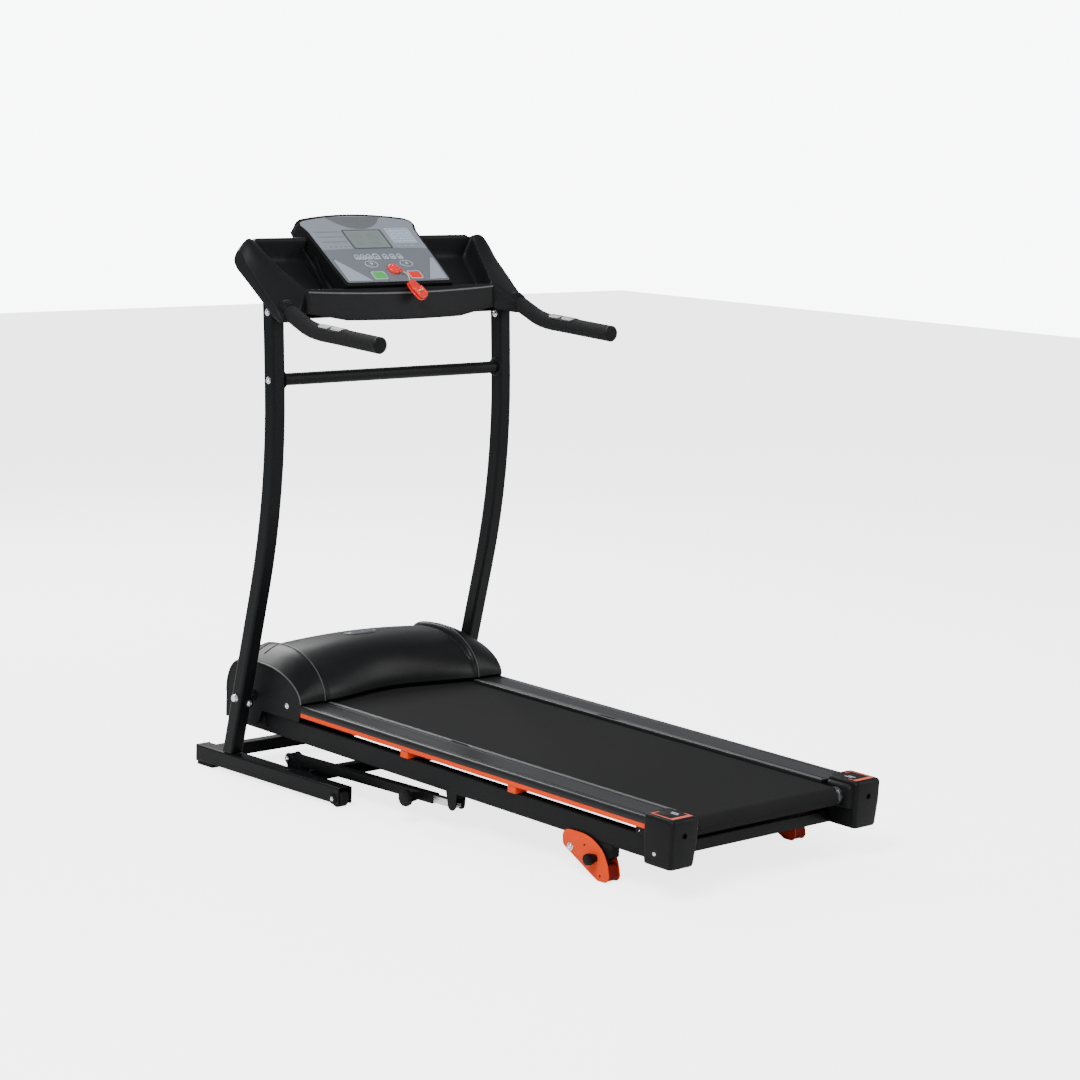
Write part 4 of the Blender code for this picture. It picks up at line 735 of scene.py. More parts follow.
def make_face_panel():
    """The grey front of the display: two tones, printed areas and the screen."""
    outline = pod_outline(0.0085)
    split = 0.1310
    seam = [(-0.161 + 0.0322 * i, split + 0.004 * math.cos(math.pi * (i - 5) / 10))
             for i in range(11)]
    upper = [(x, y) for x, y in outline if y >= split + 0.004]
    face_piece("face_upper", seam + upper, "face_light", FACE_TOP, FACE_TOP + 0.0003)
    x0, y0, x1, y1 = LCD
    face_frame("lcd_bezel", rounded(x0 - 0.006, y0 - 0.006, x1 + 0.006, y1 + 0.006, 0.004),
               0.0055, "face_line", high=PRINT + 0.0006)
    emit("lcd_screen", prism(rounded(x0, y0, x1, y1, 0.002), FACE_TOP, PRINT + 0.0003), "base",
         "screen", CONSOLE, slot="face_grey")
    make_lcd_digits(x0, y0, x1, y1)
    lens = arc((0.0, 0.305), 0.100, 208, 332, 22)
    lens = [(-0.0880, 0.2500), *[p for p in lens if p[1] < 0.249], (0.0880, 0.2500)]
    face_piece("badge_lens", lens, "face_badge")
    for number in range(4):
        y = 0.1950 - 0.0180 * number
        face_piece(f"face_line_{number}", [(-0.148 + 0.0006 * number, y), (-0.07, y),
                   (-0.07, y + 0.0011), (-0.148 + 0.0006 * number, y + 0.0011)], "face_line")
    face_piece("profile_field", rounded(0.074, 0.154, 0.142, 0.204, 0.003), "face_pale")
    face_frame("profile_frame", rounded(0.072, 0.152, 0.144, 0.206, 0.004), 0.0016, "face_white",
               high=PRINT + 0.0004)
    for row in range(5):
        for column in range(9):
            height = (0.3 + 0.7 * abs(math.sin(1.1 * column + 0.9 * row))) * 0.0060
            x = 0.0780 + 0.0070 * column
            y = 0.1570 + 0.0092 * row
            face_piece(f"profile_bar_{row}_{column}", [(x, y), (x + 0.0045, y),
                       (x + 0.0045, y + height), (x, y + height)], "face_blue", PRINT + 0.0002,
                       PRINT + 0.0004)
    make_corner_fields()
    make_shortcut_keys()


def make_lcd_digits(x0, y0, x1, y1):
    """Unlit segment figures behind the screen's glass, all of them the figure eight."""
    for group, (x, y, size) in enumerate(((x0 + 0.012, y0 + 0.030, 1.0),
                                          (x0 + 0.062, y0 + 0.030, 1.0),
                                          (x0 + 0.012, y0 + 0.008, 0.7),
                                          (x0 + 0.062, y0 + 0.008, 0.7))):
        for digit in range(3):
            left = x + digit * 0.0120 * size
            for part, (dx, dy, wide, tall) in enumerate((
                    (0.001, 0.0, 0.006, 0.0012), (0.001, 0.0075, 0.006, 0.0012),
                    (0.001, 0.015, 0.006, 0.0012), (0.0, 0.001, 0.0012, 0.0062),
                    (0.0068, 0.001, 0.0012, 0.0062), (0.0, 0.0087, 0.0012, 0.0062),
                    (0.0068, 0.0087, 0.0012, 0.0062))):
                ax, ay = left + dx * size, y + dy * size
                bx, by = ax + wide * size, ay + tall * size
                face_piece(f"segment_{group}_{digit}_{part}", [(ax, ay), (bx, ay), (bx, by),
                           (ax, by)], "segment", PRINT + 0.0003, PRINT + 0.00045)


def make_corner_fields():
    """The two pale fields in the lower corners, each with a dark line round it."""
    left = [(-0.1470, 0.0990), (-0.1520, 0.0960), (-0.1520, 0.0190), (-0.0760, 0.0190)]
    right = [(0.1460, 0.0980), (0.0950, 0.0190), (0.1520, 0.0190), (0.1560, 0.0980)]
    for name, outline in (("left", left), ("right", right)):
        outline = list(reversed(outline))
        face_piece(f"{name}_field", outline, "face_pale", high=FACE_TOP + 0.0003)
        face_frame(f"{name}_field_line", outline, 0.0016, "face_line", high=FACE_TOP + 0.0005)


def make_shortcut_keys():
    """Row of arched membrane keys and the small round ones under the screen."""
    for number, x in enumerate((-0.0740, -0.0560, -0.0380, -0.0160, 0.0120, 0.0340, 0.0560)):
        radius = 0.0095 if number == 3 else 0.0072
        outer = arc((x, 0.1060), radius, 0, 180, 12) + [(x - radius, 0.0960), (x + radius, 0.0960)]
        inner = [(x + (px - x) * 0.78, 0.1060 + (py - 0.1060) * 0.78) for px, py in outer]
        emit(f"shortcut_key_{number}", ring_plate(outer, inner, FACE_TOP, FACE_TOP + 0.0004),
             "base", "face_white", CONSOLE, slot="face_grey")
        face_piece(f"shortcut_dot_{number}", arc((x, 0.103), 0.0022, 0, 345, 12), "face_white")
    for number in range(8):
        x = -0.1380 + 0.0150 * number if number < 5 else 0.0800 + 0.0200 * (number - 5)
        face_piece(f"small_key_{number}", arc((x, 0.141 if number < 5 else 0.142), 0.0032, 0, 345,
                   12), "face_pale")


def make_keys():
    """Start and stop keys with soft crowned tops, and the two arrow keys."""
    for name, (x0, y0, x1, y1), colour in KEYS:
        rows = []
        for inset, z in ((0.0, -0.0070), (0.0, 0.0048), (0.0006, 0.0060), (0.0020, 0.0066)):
            rows.append([(x, y, z) for x, y in rounded(x0 + inset, y0 + inset, x1 - inset,
                        y1 - inset, 0.0045)])
        emit(f"{name}_key_cap", grid(rows, closed=True, caps=True), f"{name}_key", "face_dark",
             CONSOLE, slot=colour, replaces=(f"{name}_button",), sharp=50)
        rows = []
        for inset, z in ((0.0, 0.0060), (0.0, 0.0068), (0.0008, 0.0074), (0.0022, 0.0077)):
            rows.append([(x, y, z) for x, y in rounded(x0 + 0.0024 + inset, y0 + 0.0048 + inset,
                        x1 - 0.0024 - inset, y1 - 0.0062 - inset, 0.0035)])
        emit(f"{name}_key_top", grid(rows, closed=True, caps=True), f"{name}_key", colour,
             CONSOLE, slot=colour, sharp=50)
        outer = rounded(x0 + 0.0006, y0 + 0.0030, x1 - 0.0006, y1 - 0.0044, 0.0045)
        inner = rounded(x0 + 0.0019, y0 + 0.0043, x1 - 0.0019, y1 - 0.0057, 0.0036)
        emit(f"{name}_key_frame", ring_plate(outer, inner, 0.0062, 0.007), f"{name}_key",
             "face_white", CONSOLE, slot="face_grey")
    for name, (x, y), way in ARROWS:
        rows = []
        for inset, z in ((0.0, -0.0070), (0.0, 0.0048), (0.0006, 0.0060), (0.0018, 0.0064)):
            rows.append([(px, py, z) for px, py in rounded(x - 0.01 + inset, y - 0.008 + inset, x
                        + 0.01 - inset, y + 0.008 - inset, 0.0055)])
        emit(f"{name}_key_cap", grid(rows, closed=True, caps=True), f"{name}_key", "face_dark",
             CONSOLE, slot="face_grey", replaces=(f"{name}_button",), sharp=50)
        arrow = [(x - 0.0045, y - 0.0028 * way), (x + 0.0045, y - 0.0028 * way),
                  (x, y + 0.0036 * way)]
        emit(f"{name}_arrow", prism(arrow, 0.0063, 0.0068), f"{name}_key", "face_white", CONSOLE,
             slot="face_grey")
        face_frame(f"{name}_oval", [(x + 0.019 * math.cos(a), y + 0.0112 * math.sin(a))
                   for a in turns(28)], 0.0012, "face_white", high=PRINT + 0.0004)


def make_pod_back():
    """Cover that closes the pod behind, with its screws and cooling slots."""
    outline = pod_outline(0.0022)
    emit("pod_back", prism(outline, -0.0318, -0.0292), "base", "console", CONSOLE, bevel=0.0008)
    for number in range(9):
        x = -0.0480 + 0.0120 * number
        rounded_box(f"pod_slot_{number}", (x - 0.0016, 0.212, -0.0322),
                    (x + 0.0016, 0.234, -0.0316), "base", "dark_gap", CONSOLE, bevel=0.0002)
    for side, sign in SIDES:
        screw = CONSOLE @ Vector((sign * 0.1450, 0.2240, -0.0316))
        bolt_head(f"{side}_pod_screw", screw, CONSOLE.to_3x3() @ Vector((0, 0, -1)), 0.003,
                  0.0018, "base")


def make_tray_details():
    """The lighter rim along the front lip, a painted highlight on its edge, and the ribs beside the pod."""
    rim = []
    for step in range(33):
        x = -0.2830 + 0.5660 * step / 32
        rim.append(Vector((x, -0.0045 - lip_bow(x), -0.0022)))
    # Thin bead in the lighter lip finish: the lip's painted edge highlight.
    emit("lip_rim", sweep(rim, 0.0022, 10), "base", "lip", CONSOLE)
    for number, (x_low, x_high, top) in enumerate(((-0.1830, -0.2020, 0.150),
                                                   (-0.1780, -0.1830, 0.120))):
        rows = []
        for t in range(9):
            share = t / 8
            x = x_high + (x_low - x_high) * share
            y = top - (top - 0.022) * share
            z = -0.006 - 0.036 * share
            rows.append([(x - 0.0012, y, z), (x + 0.0012, y, z),
                        (x + 0.0012, y + 0.002, z - 0.012), (x - 0.0012, y + 0.002, z - 0.012)])
        emit(f"tray_rib_{number}", grid(rows, closed=True, caps=True), "base", "black_plastic",
             CONSOLE, bevel=0.0004)


# ------------------------------------------------------------------ safety key

KEY_PLACE = (0.0055, 0.0550)
CLIP_START = (0.0150, 0.0080)
CLIP = (CONSOLE @ Matrix.Translation((*CLIP_START, 0.0158))
        @ Matrix.Rotation(math.radians(14.0), 4, "Z")
        @ Matrix.Rotation(math.radians(6.0), 4, "X"))


def cord_line():
    """Route of the safety cord, from the key's edge to the clip's eye."""
    x, y = KEY_PLACE
    end_x, end_y = CLIP_START
    start = Vector((x + 0.0140, y - 0.0135, 0.0115))
    end = Vector((end_x - 0.0014, end_y - 0.0052, 0.0190))
    bow = Vector((0.0050, 0.0030, 0.0035))
    return [CONSOLE @ (start.lerp(end, i / 14) + bow * 4 * (i / 14) * (1 - i / 14))
                       for i in range(15)]


def make_safety_cord():
    line = cord_line()
    cord = emit("key_cord", sweep(line, 0.001, 12), "magnet_key", "beige", slot="beige",
                replaces=("safety_cord",))


def make_safety_key():
    """Round magnet key with a moulded eye, and the clothes clip with two jaws."""
    x, y = KEY_PLACE
    place = CONSOLE @ Matrix.Translation((x, y, FACE_TOP + 0.0004))
    profile = [(0.0158, 0.0), (0.0162, 0.0012), (0.0162, 0.0046), (0.0154, 0.0066),
                (0.014, 0.0078), (0.0122, 0.0082), (0.0114, 0.0074), (0.0092, 0.0072),
                (0.0056, 0.0098), (0.0018, 0.0106)]
    emit("magnet_disc", lathe(profile, 40), "magnet_key", "red", place, slot="red",
         replaces=("safety_key",), sharp=40)
    eye = [(0.0105 + 0.0052 * math.cos(a), -0.0115 + 0.0052 * math.sin(a), 0.0092)
            for a in (2 * math.pi * i / 20 for i in range(21))]
    emit("key_eye", sweep(eye, 0.0014, 10), "magnet_key", "red", place, slot="red", sharp=60)
    upper = [(-0.0058, -0.006), (0.0058, -0.006), (0.0086, -0.013), (0.0104, -0.03),
              (0.0104, -0.05), (0.009, -0.0565), (0.005, -0.06), (-0.005, -0.06),
              (-0.009, -0.0565), (-0.0104, -0.05), (-0.0104, -0.03), (-0.0086, -0.013)]
    upper = [(1.42 * x, 1.03 * y) for x, y in upper]
    emit("clip_top", prism(list(reversed(upper)), 0.0014, 0.0058), "magnet_key", "red", CLIP,
         slot="red", replaces=("safety_clip",), bevel=0.001)
    emit("clip_bottom", prism(list(reversed(upper)), -0.0062, -0.002), "clip_lever", "red", CLIP,
         slot="red", replaces=("clip_jaw",), bevel=0.001)
    for number in range(4):
        y = -0.0140 - 0.0038 * number
        rounded_box(f"clip_grip_{number}", (-0.0092, y - 0.001, 0.0054),
                    (0.0092, y + 0.001, 0.0068), "magnet_key", "red", CLIP, slot="red",
                    bevel=0.0004)
    for edge, way in (("left", -1), ("right", 1)):
        low, high = sorted((way * 0.0098, way * 0.0146))
        rounded_box(f"clip_cheek_{edge}", (low, -0.056, 0.005), (high, -0.03, 0.0088),
                    "magnet_key", "red", CLIP, slot="red", bevel=0.0012)
    spring = [(-0.009 + 0.018 * i / 72, -0.042 + 0.0024 * math.cos(2 * math.pi * i / 12), 0.0078
               + 0.0018 * math.sin(2 * math.pi * i / 12)) for i in range(73)]
    emit("clip_spring", sweep(spring, 0.0006, 8), "magnet_key", "brass", CLIP, slot="zinc",
         sharp=60)


# --------------------------------------------------------------------- handles

HANDLE_X = 0.354


def handle_line(sign):
    """Centre line of a handle, from inside the cheek to its rear end."""
    route = [(0.5085, 1.124), (0.488, 1.1235), (0.463, 1.115), (0.427, 1.1), (0.392, 1.0865),
              (0.352, 1.079), (0.281, 1.0752), (0.141, 1.0678)]
    return smooth_line([(sign * HANDLE_X, y, z) for y, z in route], 8)


def make_handles():
    """Foam grips with moulded collars, round end plugs and two-part pulse plates."""
    for side, sign in SIDES:
        line = handle_line(sign)[14:]
        radii = [0.0190] * len(line)
        radii[0], radii[1] = 0.0172, 0.0186
        grip = emit(f"{side}_foam_grip", sweep(line, radii, 36), "base", "foam",
                    slot="soft_black", replaces=(f"{side}_grip",), sharp=50)
        out = (line[-1] - line[-3]).normalized()
        plug = [(0.0189, -0.001), (0.0192, 0.0004), (0.0192, 0.003), (0.018, 0.0048),
                 (0.015, 0.0056), (0.0132, 0.0056), (0.0126, 0.0048), (0.006, 0.0052),
                 (0.001, 0.0054)]
        emit(f"{side}_grip_plug", lathe(plug, 36), "base", "black_plastic", along(line[-1], out),
             slot="soft_black", sharp=40)
        collar = handle_line(sign)[10:17]
        radii = [0.0226, 0.0229, 0.0229, 0.0226, 0.0222, 0.0216, 0.0206]
        emit(f"{side}_collar", sweep(collar, radii, 36), "base", "black_plastic", sharp=40)
        make_pulse_plates(side, sign)


def make_pulse_plates(side, sign):
    """Two curved plates and their black frame on top of a grip."""
    start, end = Vector((0.349, 1.0786)), Vector((0.258, 1.0740))
    run = (end - start).normalized()
    up = Vector((run.y, -run.x))
    if up.y < 0:
        up.negate()

    def patch(name, t0, t1, half_angle, inner, outer, surface, replaces=()):
        rows = []
        for step in range(9):
            share = t0 + (t1 - t0) * step / 8
            centre = start.lerp(end, share)
            taper = 1.0 - 0.35 * (1.0 if step in (0, 8) else 0.0)
            row = []
            angles = [half_angle * taper * (k / 6 - 1) for k in range(13)]
            for radius, turns in ((inner, angles), (outer, list(reversed(angles)))):
                for angle in turns:
                    a = math.radians(angle)
                    lift = up * (radius * math.cos(a))
                    row.append((sign * HANDLE_X + radius * math.sin(a), centre.x + lift.x,
                               centre.y + lift.y))
            rows.append(row)
        return emit(name, grid(rows, closed=True, caps=True), "base", surface, slot="zinc"
                    if surface == "plate" else "black_plastic", replaces=replaces, sharp=40)

    patch(f"{side}_pulse_frame", 0.0, 1.0, 56, 0.0186, 0.0198, "black_plastic")
    patch(f"{side}_pulse_front", 0.05, 0.47, 46, 0.0192, 0.0206, "plate",
          replaces=(f"{side}_pulse_plate",))
    patch(f"{side}_pulse_rear", 0.53, 0.95, 46, 0.0192, 0.0206, "plate")


# ------------------------------------------------------------ deck and its trim

ROLLER_PLACE = (-1.365, -0.0173)
ADJUSTER_X = 0.2840
CAP = {"front": -1.3280, "rear": -1.4136, "inner": 0.2430, "outer": 0.3220,
       "top": 0.0190, "bottom": -0.0870}


def carve(piece, cutters):
    """Cuts closed shapes out of a piece for good; each cutter is (vertices, faces)."""
    made = []
    for number, (verts, faces) in enumerate(cutters):
        mesh = bpy.data.meshes.new(f"cutter_{number}")
        shape = bmesh.new()
        points = [shape.verts.new(v) for v in verts]
        for face in faces:
            shape.faces.new([points[i] for i in face])
        bmesh.ops.recalc_face_normals(shape, faces=shape.faces)
        shape.to_mesh(mesh)
        shape.free()
        cutter = bpy.data.objects.new(f"cutter_{number}", mesh)
        bpy.context.scene.collection.objects.link(cutter)
        opening = piece.modifiers.new(f"opening_{number}", "BOOLEAN")
        opening.object = cutter
        made.append(cutter)
    settled = piece.evaluated_get(bpy.context.evaluated_depsgraph_get())
    mesh = bpy.data.meshes.new_from_object(settled)
    piece.modifiers.clear()
    piece.data = mesh
    for cutter in made:
        bpy.data.objects.remove(cutter)
    mesh.shade_smooth()
    mesh.set_sharp_from_angle(angle=math.radians(40))


def box_form(low, high, place=Matrix()):
    """Vertices and faces of a box between two corners, moved by a matrix."""
    (x0, y0, z0), (x1, y1, z1) = low, high
    verts, faces = prism([(x0, y0), (x1, y0), (x1, y1), (x0, y1)], z0, z1)
    return [tuple(place @ Vector(v)) for v in verts], faces


def rod_form(start, direction, radius, length, segments=24):
    verts, faces = lathe([(radius, 0.0), (radius, length)], segments)
    place = along(start, direction)
    return [tuple(place @ Vector(v)) for v in verts], faces


def make_end_caps():
    """Rounded blocks over the rear ends, with label, adjuster recess, screw and collar."""
    sections = ((-0.087, 0.0085, 0.0075), (-0.0855, 0.006, 0.0055), (-0.08, 0.0045, 0.0045),
                (-0.056, 0.0025, 0.0028), (-0.03, 0.0, 0.0012), (0.01, 0.0, 0.0),
                (0.015, 0.001, 0.001), (0.0178, 0.0034, 0.0034), (0.019, 0.0075, 0.0075))
    for side, sign in SIDES:
        rows = []
        for z, inset, rear_inset in sections:
            outline = rounded(CAP["inner"] + inset, CAP["rear"] + rear_inset, CAP["outer"]
                              - inset * 0.7, CAP["front"], 0.0085, 6)
            rows.append([(sign * x, y, z) for x, y in outline])
        cap = emit(f"{side}_rear_cap", grid(rows, closed=True, caps=True), "deck",
                   "black_plastic", DECK, replaces=(f"{side}_end_cap",), sharp=60)
        hole, screw, rim = (DECK @ Vector((sign * ADJUSTER_X, CAP["rear"] + inward,
                ROLLER_PLACE[1])) for inward in (0.018, 0.017, 0.0012))
        notch = box_form((sign * 0.315 if sign > 0 else -0.33, -1.34, -0.09),
                         (0.33 if sign > 0 else -0.315, CAP["front"] + 0.01, -0.076), DECK)
        carve(cap, [rod_form(hole, (0, -1, 0), 0.0060, 0.030), notch])
        emit(f"{side}_adjuster", lathe([(0.0058, 0.0), (0.0058, 0.004), (0.004, 0.0046),
             (0.0032, 0.0046), (0.003, 0.002)], 24), "deck", "dark_gap", along(screw, (0, -1, 0)),
             slot="zinc")
        emit(f"{side}_adjuster_rim", lathe([(0.0094, -0.0008), (0.009, 0.0008), (0.0074, 0.0012),
             (0.0062, 0.0004), (0.0062, -0.0008)], 28, ring=True), "deck", "black_plastic",
             along(rim, (0, -1, 0)))
        bolt_head(f"{side}_cap_screw", DECK @ Vector((sign * 0.3195, -1.362, -0.06)),
                  (sign, 0, 0), 0.0036, 0.0022, "deck")
        make_cap_label(side, sign)
        make_roller_collar(side, sign)


def make_cap_label(side, sign):
    """Printed frame on a cap: a thin border, a broad rear bar and two pale dashes."""
    z = CAP["top"]

    def area(name, x0, y0, x1, y1, surface, lift=0.0002):
        low, high = sorted((sign * x0, sign * x1))
        emit(f"{side}_{name}", prism(rounded(low, y0, high, y1, 0.0008, 2), z - 0.0002, z + lift),
             "deck", surface, DECK, slot="orange")

    area("label_rear", 0.2520, -1.4020, 0.3110, -1.3915, "label_red")
    area("label_outer", 0.3068, -1.3915, 0.3110, -1.3370, "label_red")
    area("label_inner", 0.2520, -1.3915, 0.2550, -1.3780, "label_red")
    area("label_front", 0.2880, -1.3405, 0.3068, -1.3370, "label_red")
    area("label_dash_0", 0.2660, -1.3760, 0.2690, -1.3560, "face_white")
    area("label_dash_1", 0.2730, -1.3800, 0.2760, -1.3600, "face_white")


def make_roller_collar(side, sign):
    """Ribbed collar round the roller's end, between the belt and the cap."""
    profile = [(0.0085, 0.0)]
    for number in range(4):
        start = 0.0010 + 0.0060 * number
        profile += [(0.0165, start), (0.0192, start + 0.0008), (0.0192, start + 0.003),
                     (0.0165, start + 0.0038)]
    profile += [(0.0150, 0.0262), (0.0085, 0.0266)]
    verts, faces = lathe(profile, 40)
    start = DECK @ Vector((sign * 0.2172, *ROLLER_PLACE))
    emit(f"{side}_roller_collar", (verts, faces), "deck", "black_plastic",
         along(start, (sign, 0, 0)), sharp=30)
    shoulder = []
    for x, inset in ((0.2445, 0.0), (0.2400, 0.0010), (0.2360, 0.0040), (0.2335, 0.0085)):
        outline = rounded(CAP["rear"] + 0.01 + inset, -0.044 + inset, CAP["front"] - inset, 0.011
                          - inset, 0.009, 5)
        shoulder.append([(sign * x, y, z) for y, z in outline])
    emit(f"{side}_cap_shoulder", grid(shoulder, closed=True, caps=True), "deck", "black_plastic",
         DECK, sharp=50)


RAIL_FRONT = -0.1834
RAIL_REAR = -1.3283


def make_rails():
    """Smooth foot rails with grooves, lighter edge beads and a strip that paint highlight lines, and the spacers
    behind them.
    """
    groove = 0.0010
    points = [(0.2220, 0.0019), (0.2220, 0.0080), (0.2230, 0.0098), (0.2245, 0.0100)]
    for middle in (0.2400, 0.2990):
        points += [(middle - 0.0026, 0.01), (middle - 0.0016, 0.01 - groove),
                    (middle + 0.0016, 0.01 - groove), (middle + 0.0026, 0.01)]
    points += [(0.3085, 0.01), (0.3115, 0.0096), (0.3138, 0.0082), (0.315, 0.0056),
                (0.315, -0.0058), (0.3003, -0.0058), (0.3003, 0.0019)]
    for side, sign in SIDES:
        rows = []
        for step in range(13):
            y = RAIL_FRONT + (RAIL_REAR - RAIL_FRONT) * step / 12
            rows.append([(sign * x, y, z) for x, z in points])
        emit(f"{side}_rail", grid(rows, closed=True, caps=True), "deck", "rail", DECK,
             replaces=(f"{side}_foot_rail",), sharp=40)
        # Lighter beads along both edges: painted highlight lines.
        for name, x, z, radius in (("inner", 0.2245, 0.0094, 0.0010),
                                   ("outer", 0.3108, 0.0092, 0.0011)):
            line = [Vector((sign * x, -0.1845 - 1.1430 * t / 8, z)) for t in range(9)]
            emit(f"{side}_rail_bead_{name}", sweep(line, radius, 10), "deck", "bead", DECK)
        # Lighter strip along the rail top: a painted highlight line.
        strip = [(sign * 0.228, -0.185), (sign * 0.2332, -0.185), (sign * 0.2332, -1.32),
                  (sign * 0.228, -1.32)]
        emit(f"{side}_rail_highlight_strip", prism(strip, 0.0098, 0.0103), "deck", "bead", DECK)
        mark = [(sign * 0.2272, -0.615), (sign * 0.2345, -0.633), (sign * 0.2345, -0.69),
                 (sign * 0.2272, -0.672)]
        emit(f"{side}_rail_mark", prism(mark, 0.0099, 0.0106), "deck", "dark_gap", DECK)
        low, high = sorted((sign * 0.2800, sign * 0.3110))
        rounded_box(f"{side}_rear_spacer", (low, -1.326, -0.0328), (high, -1.296, -0.0178),
                    "deck", "black_plastic", DECK)
        bolt_head(f"{side}_spacer_screw", DECK @ Vector((sign * 0.3106, -1.308, -0.025)),
                  (sign, 0, 0), 0.0015, 0.001, "deck")


# ----------------------------------------------------------- feet, knobs, bolts

INCLINE_PIVOT = (-0.4675, 0.0565)
INCLINE_PIN = (-0.5440, 0.0481)
FOOT_HOLES = ((0.0430, 0.0122), (0.0925, -0.0444))
FOOT_OUTLINE = ((-0.0180, -0.0020), (-0.0230, 0.0030), (-0.0240, 0.0120), (-0.0245, 0.0220),
                (-0.0200, 0.0310), (-0.0100, 0.0360), (0.0, 0.0370), (0.0315, 0.0370),
                (0.0480, 0.0350), (0.0630, 0.0310), (0.0800, 0.0225), (0.0950, 0.0120),
                (0.1060, -0.0020), (0.1140, -0.0190), (0.1190, -0.0400), (0.1180, -0.0470),
                (0.1135, -0.0530), (0.1060, -0.0560), (0.0850, -0.0560))


def side_turn(x):
    """Matrix that stands an outline given as (y, z) up at a distance across."""
    return Matrix(((0, 0, 1, x), (1, 0, 0, 0), (0, 1, 0, 0), (0, 0, 0, 1)))


def foot_place(back, up):
    """A point of a foot, measured back and up from its pivot."""
    return INCLINE_PIVOT[0] - back, INCLINE_PIVOT[1] + up


def make_incline_feet():
    """Orange feet: two bevelled plates, a dark inner web in painted shade, pivot screw and knob."""
    outline = [foot_place(*point) for point in FOOT_OUTLINE]
    closed = outline + outline[:1]
    fine = [(p.x, p.y) for p in smooth_line([(y, z, 0) for y, z in closed], 4)][:-1]
    fine = [(y, max(z, 0.0004)) for y, z in fine]
    for side, sign in SIDES:
        body = f"{side}_foot_swings"
        for name, low, high in (("outer", 0.3030, 0.3060), ("inner", 0.2710, 0.2740)):
            low_x, high_x = sorted((sign * low, sign * high))
            plate = emit(f"{side}_foot_{name}", prism(fine, low_x, high_x), body, "orange",
                         side_turn(0.0), slot="orange", replaces=(f"{side}_incline_foot",),
                         sharp=30, bevel=0.0009)
            if name == "outer":
                carve(plate, [rod_form((sign * 0.298, *foot_place(*hole)), (sign, 0, 0), 0.003,
                      0.016) for hole in FOOT_HOLES])
        # Shaded discs behind the holes: painted shade inside each hole.
        for number, hole in enumerate(FOOT_HOLES):
            emit(f"{side}_foot_hole_shade_{number}", lathe([(0.0046, 0.0), (0.0046, 0.0012),
                 (0.003, 0.0014)], 20), body, "inner_red", along((sign * 0.3014,
                 *foot_place(*hole)), (sign, 0, 0)), slot="orange")
        web = [foot_place(*point) for point in FOOT_OUTLINE[13:] + ((0.0320, -0.0285),)]
        middle = Vector(foot_place(0.070, -0.010))
        rows = []
        for y, z in web:
            inward = (middle - Vector((y, z))).normalized()
            near = Vector((y, z)) + inward * 0.0012
            far = Vector((y, z)) + inward * 0.0034
            near.y, far.y = max(near.y, 0.0010), max(far.y, 0.0032)
            rows.append([(sign * 0.2738, near.x, near.y), (sign * 0.3032, near.x, near.y),
                        (sign * 0.3032, far.x, far.y), (sign * 0.2738, far.x, far.y)])
        emit(f"{side}_foot_web", grid(rows, closed=True, caps=True), body, "inner_red",
             slot="orange", sharp=40)
        bolt_head(f"{side}_foot_screw", (sign * 0.3058, *INCLINE_PIVOT), (sign, 0, 0), 0.0068,
                  0.004, body)
        emit(f"{side}_foot_axle", lathe([(0.0052, 0.0), (0.0052, 0.04)], 24), body, "zinc",
             along((sign * 0.269, *INCLINE_PIVOT), (sign, 0, 0)), slot="zinc")
        make_knob(f"{side}_foot_grip", (sign * 0.2998, *INCLINE_PIN), (sign, 0, 0), ((0.004, 0.0),
                  (0.004, 0.0072), (0.0088, 0.0074), (0.0094, 0.01), (0.0118, 0.018),
                  (0.0128, 0.024), (0.0128, 0.029), (0.0118, 0.0318), (0.009, 0.033),
                  (0.003, 0.0332)), f"{side}_foot_knob", f"{side}_incline_knob")


def make_knob(name, start, direction, profile, body, replaced, flutes=9, depth=0.10):
    """A moulded knob with finger flutes round its widest part."""
    widest = max(radius for radius, _ in profile)
    rows = []
    for radius, height in profile:
        share = max(0.0, (radius / widest - 0.6) / 0.4)
        ring = []
        for a in turns(72):
            wave = 1 - depth * share * (0.5 + 0.5 * math.cos(flutes * a)) ** 2
            ring.append((radius * wave * math.cos(a), radius * wave * math.sin(a), height))
        rows.append(ring)
    return emit(name, grid(rows, closed=True, caps=True), body, "black_plastic",
                along(start, direction), replaces=(replaced,), sharp=40)


def make_strut_fittings():
    """Knob of the strut's lock, and the bolts at the strut's two ends."""
    low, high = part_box("strut_knob")
    inner = 0.5 * (low + high)
    start = Vector((high.x, inner.y, inner.z))
    make_knob("strut_lock_grip", start, (-1, 0, 0), ((0.004, 0.0), (0.004, 0.0124),
              (0.009, 0.0126), (0.0104, 0.014), (0.0112, 0.026), (0.015, 0.032), (0.0186, 0.035),
              (0.0192, 0.039), (0.0192, 0.045), (0.018, 0.0476), (0.014, 0.0488), (0.004, 0.049)),
              "strut_lock_knob", "strut_knob", 12, 0.07)
    base_low, base_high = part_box("strut_outer_tube")
    bolt_head("strut_base_bolt", (base_low.x - 0.0002, 0.508, 0.056), (-1, 0, 0), 0.0056, 0.0046,
              "base")
    deck_low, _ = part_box("strut_inner_tube")
    bolt_head("strut_deck_bolt", (deck_low.x + 0.0006, -0.077, 0.0645), (-1, 0, 0), 0.0052,
              0.0042, "strut_inner")


def post_face(side, x, height, way):
    """How far back a post's face lies: way 1 finds its rear face, -1 its front face."""
    found, point, _, _ = NODES[f"{side}_post"].ray_cast(Vector((x, -2.0 * way, height)),
            Vector((0.0, way, 0.0)))
    return point.y if found else 0.5


def post_middle(side, x, height):
    return 0.5 * (post_face(side, x, height, 1) + post_face(side, x, height, -1))


POST_X = 0.350
BAR_HEIGHT = 0.9550
REAR_BOLT = (0.3400, 0.1760)    # across, up


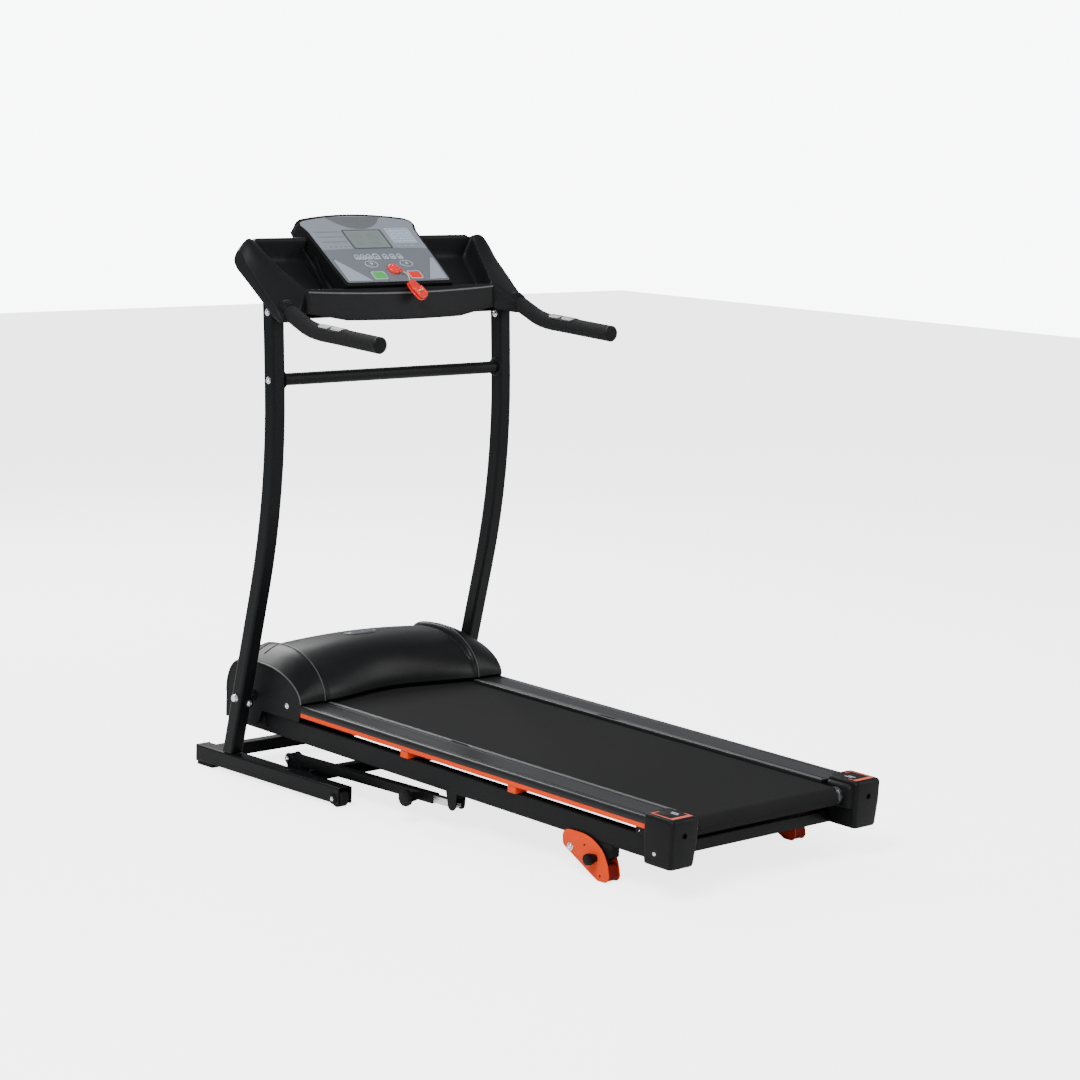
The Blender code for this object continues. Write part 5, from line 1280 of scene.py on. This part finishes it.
def make_base_fittings():
    """Bolts and washers on the posts, crossbar flanges, wheel hubs."""
    for side, sign in SIDES:
        for height in (1.1110, BAR_HEIGHT):
            y = post_middle(side, sign * POST_X, height)
            bolt_head(f"{side}_post_bolt_{int(height * 1000)}", (sign * 0.3674, y, height),
                      (sign, 0, 0), 0.0062, 0.005, "base")
        bolt_head(f"{side}_post_inner_bolt", (sign * 0.3326,
                  post_middle(side, sign * POST_X, 1.086), 1.086), (-sign, 0, 0), 0.0062, 0.005,
                  "base")
        verts, faces = lathe([(0.023, 0.0), (0.023, 0.0022), (0.0205, 0.0034), (0.0165, 0.0036)],
                40)
        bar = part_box("crossbar")
        emit(f"{side}_bar_flange", (verts, faces), "base", "frame_paint", along((sign * 0.3322,
             0.5 * (bar[0].y + bar[1].y), BAR_HEIGHT), (-sign, 0, 0)), slot="frame_paint")
        verts, faces = lathe([(0.0125, 0.0), (0.0125, 0.0012), (0.0105, 0.0026), (0.004, 0.003)],
                24)
        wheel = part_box(f"{side}_wheel")
        centre = 0.5 * (wheel[0] + wheel[1])
        for face, way in (("outer", sign), ("inner", -sign)):
            x = wheel[1].x if way > 0 else wheel[0].x
            emit(f"{side}_hub_{face}", (verts, faces), f"{side}_wheel_turns", "black_plastic",
                 along((x - way * 0.0012, centre.y, centre.z), (way, 0, 0)), slot="soft_black")
            bolt_head(f"{side}_hub_bolt_{face}", (x + way * 0.0014, centre.y, centre.z),
                      (way, 0, 0), 0.004, 0.0022, f"{side}_wheel_turns")
        across, up = sign * REAR_BOLT[0], REAR_BOLT[1]
        back = post_face(side, across, up, 1)
        washer = [(0.0118, 0.0), (0.0118, 0.0022), (0.0100, 0.0032), (0.0080, 0.0032)]
        emit(f"{side}_post_washer", lathe(washer, 32), "base", "black_plastic",
             along((across, back, up), (0, -1, 0)))
        bolt_head(f"{side}_post_rear_bolt", (across, back - 0.0028, up), (0, -1, 0), 0.0062,
                  0.0046, "base")


make_camera()
make_studio()
dress_cad_nodes()
make_safety_key()
make_safety_cord()
make_hood()
make_console()
make_handles()
make_end_caps()
make_rails()
make_incline_feet()
make_strut_fittings()
make_base_fittings()
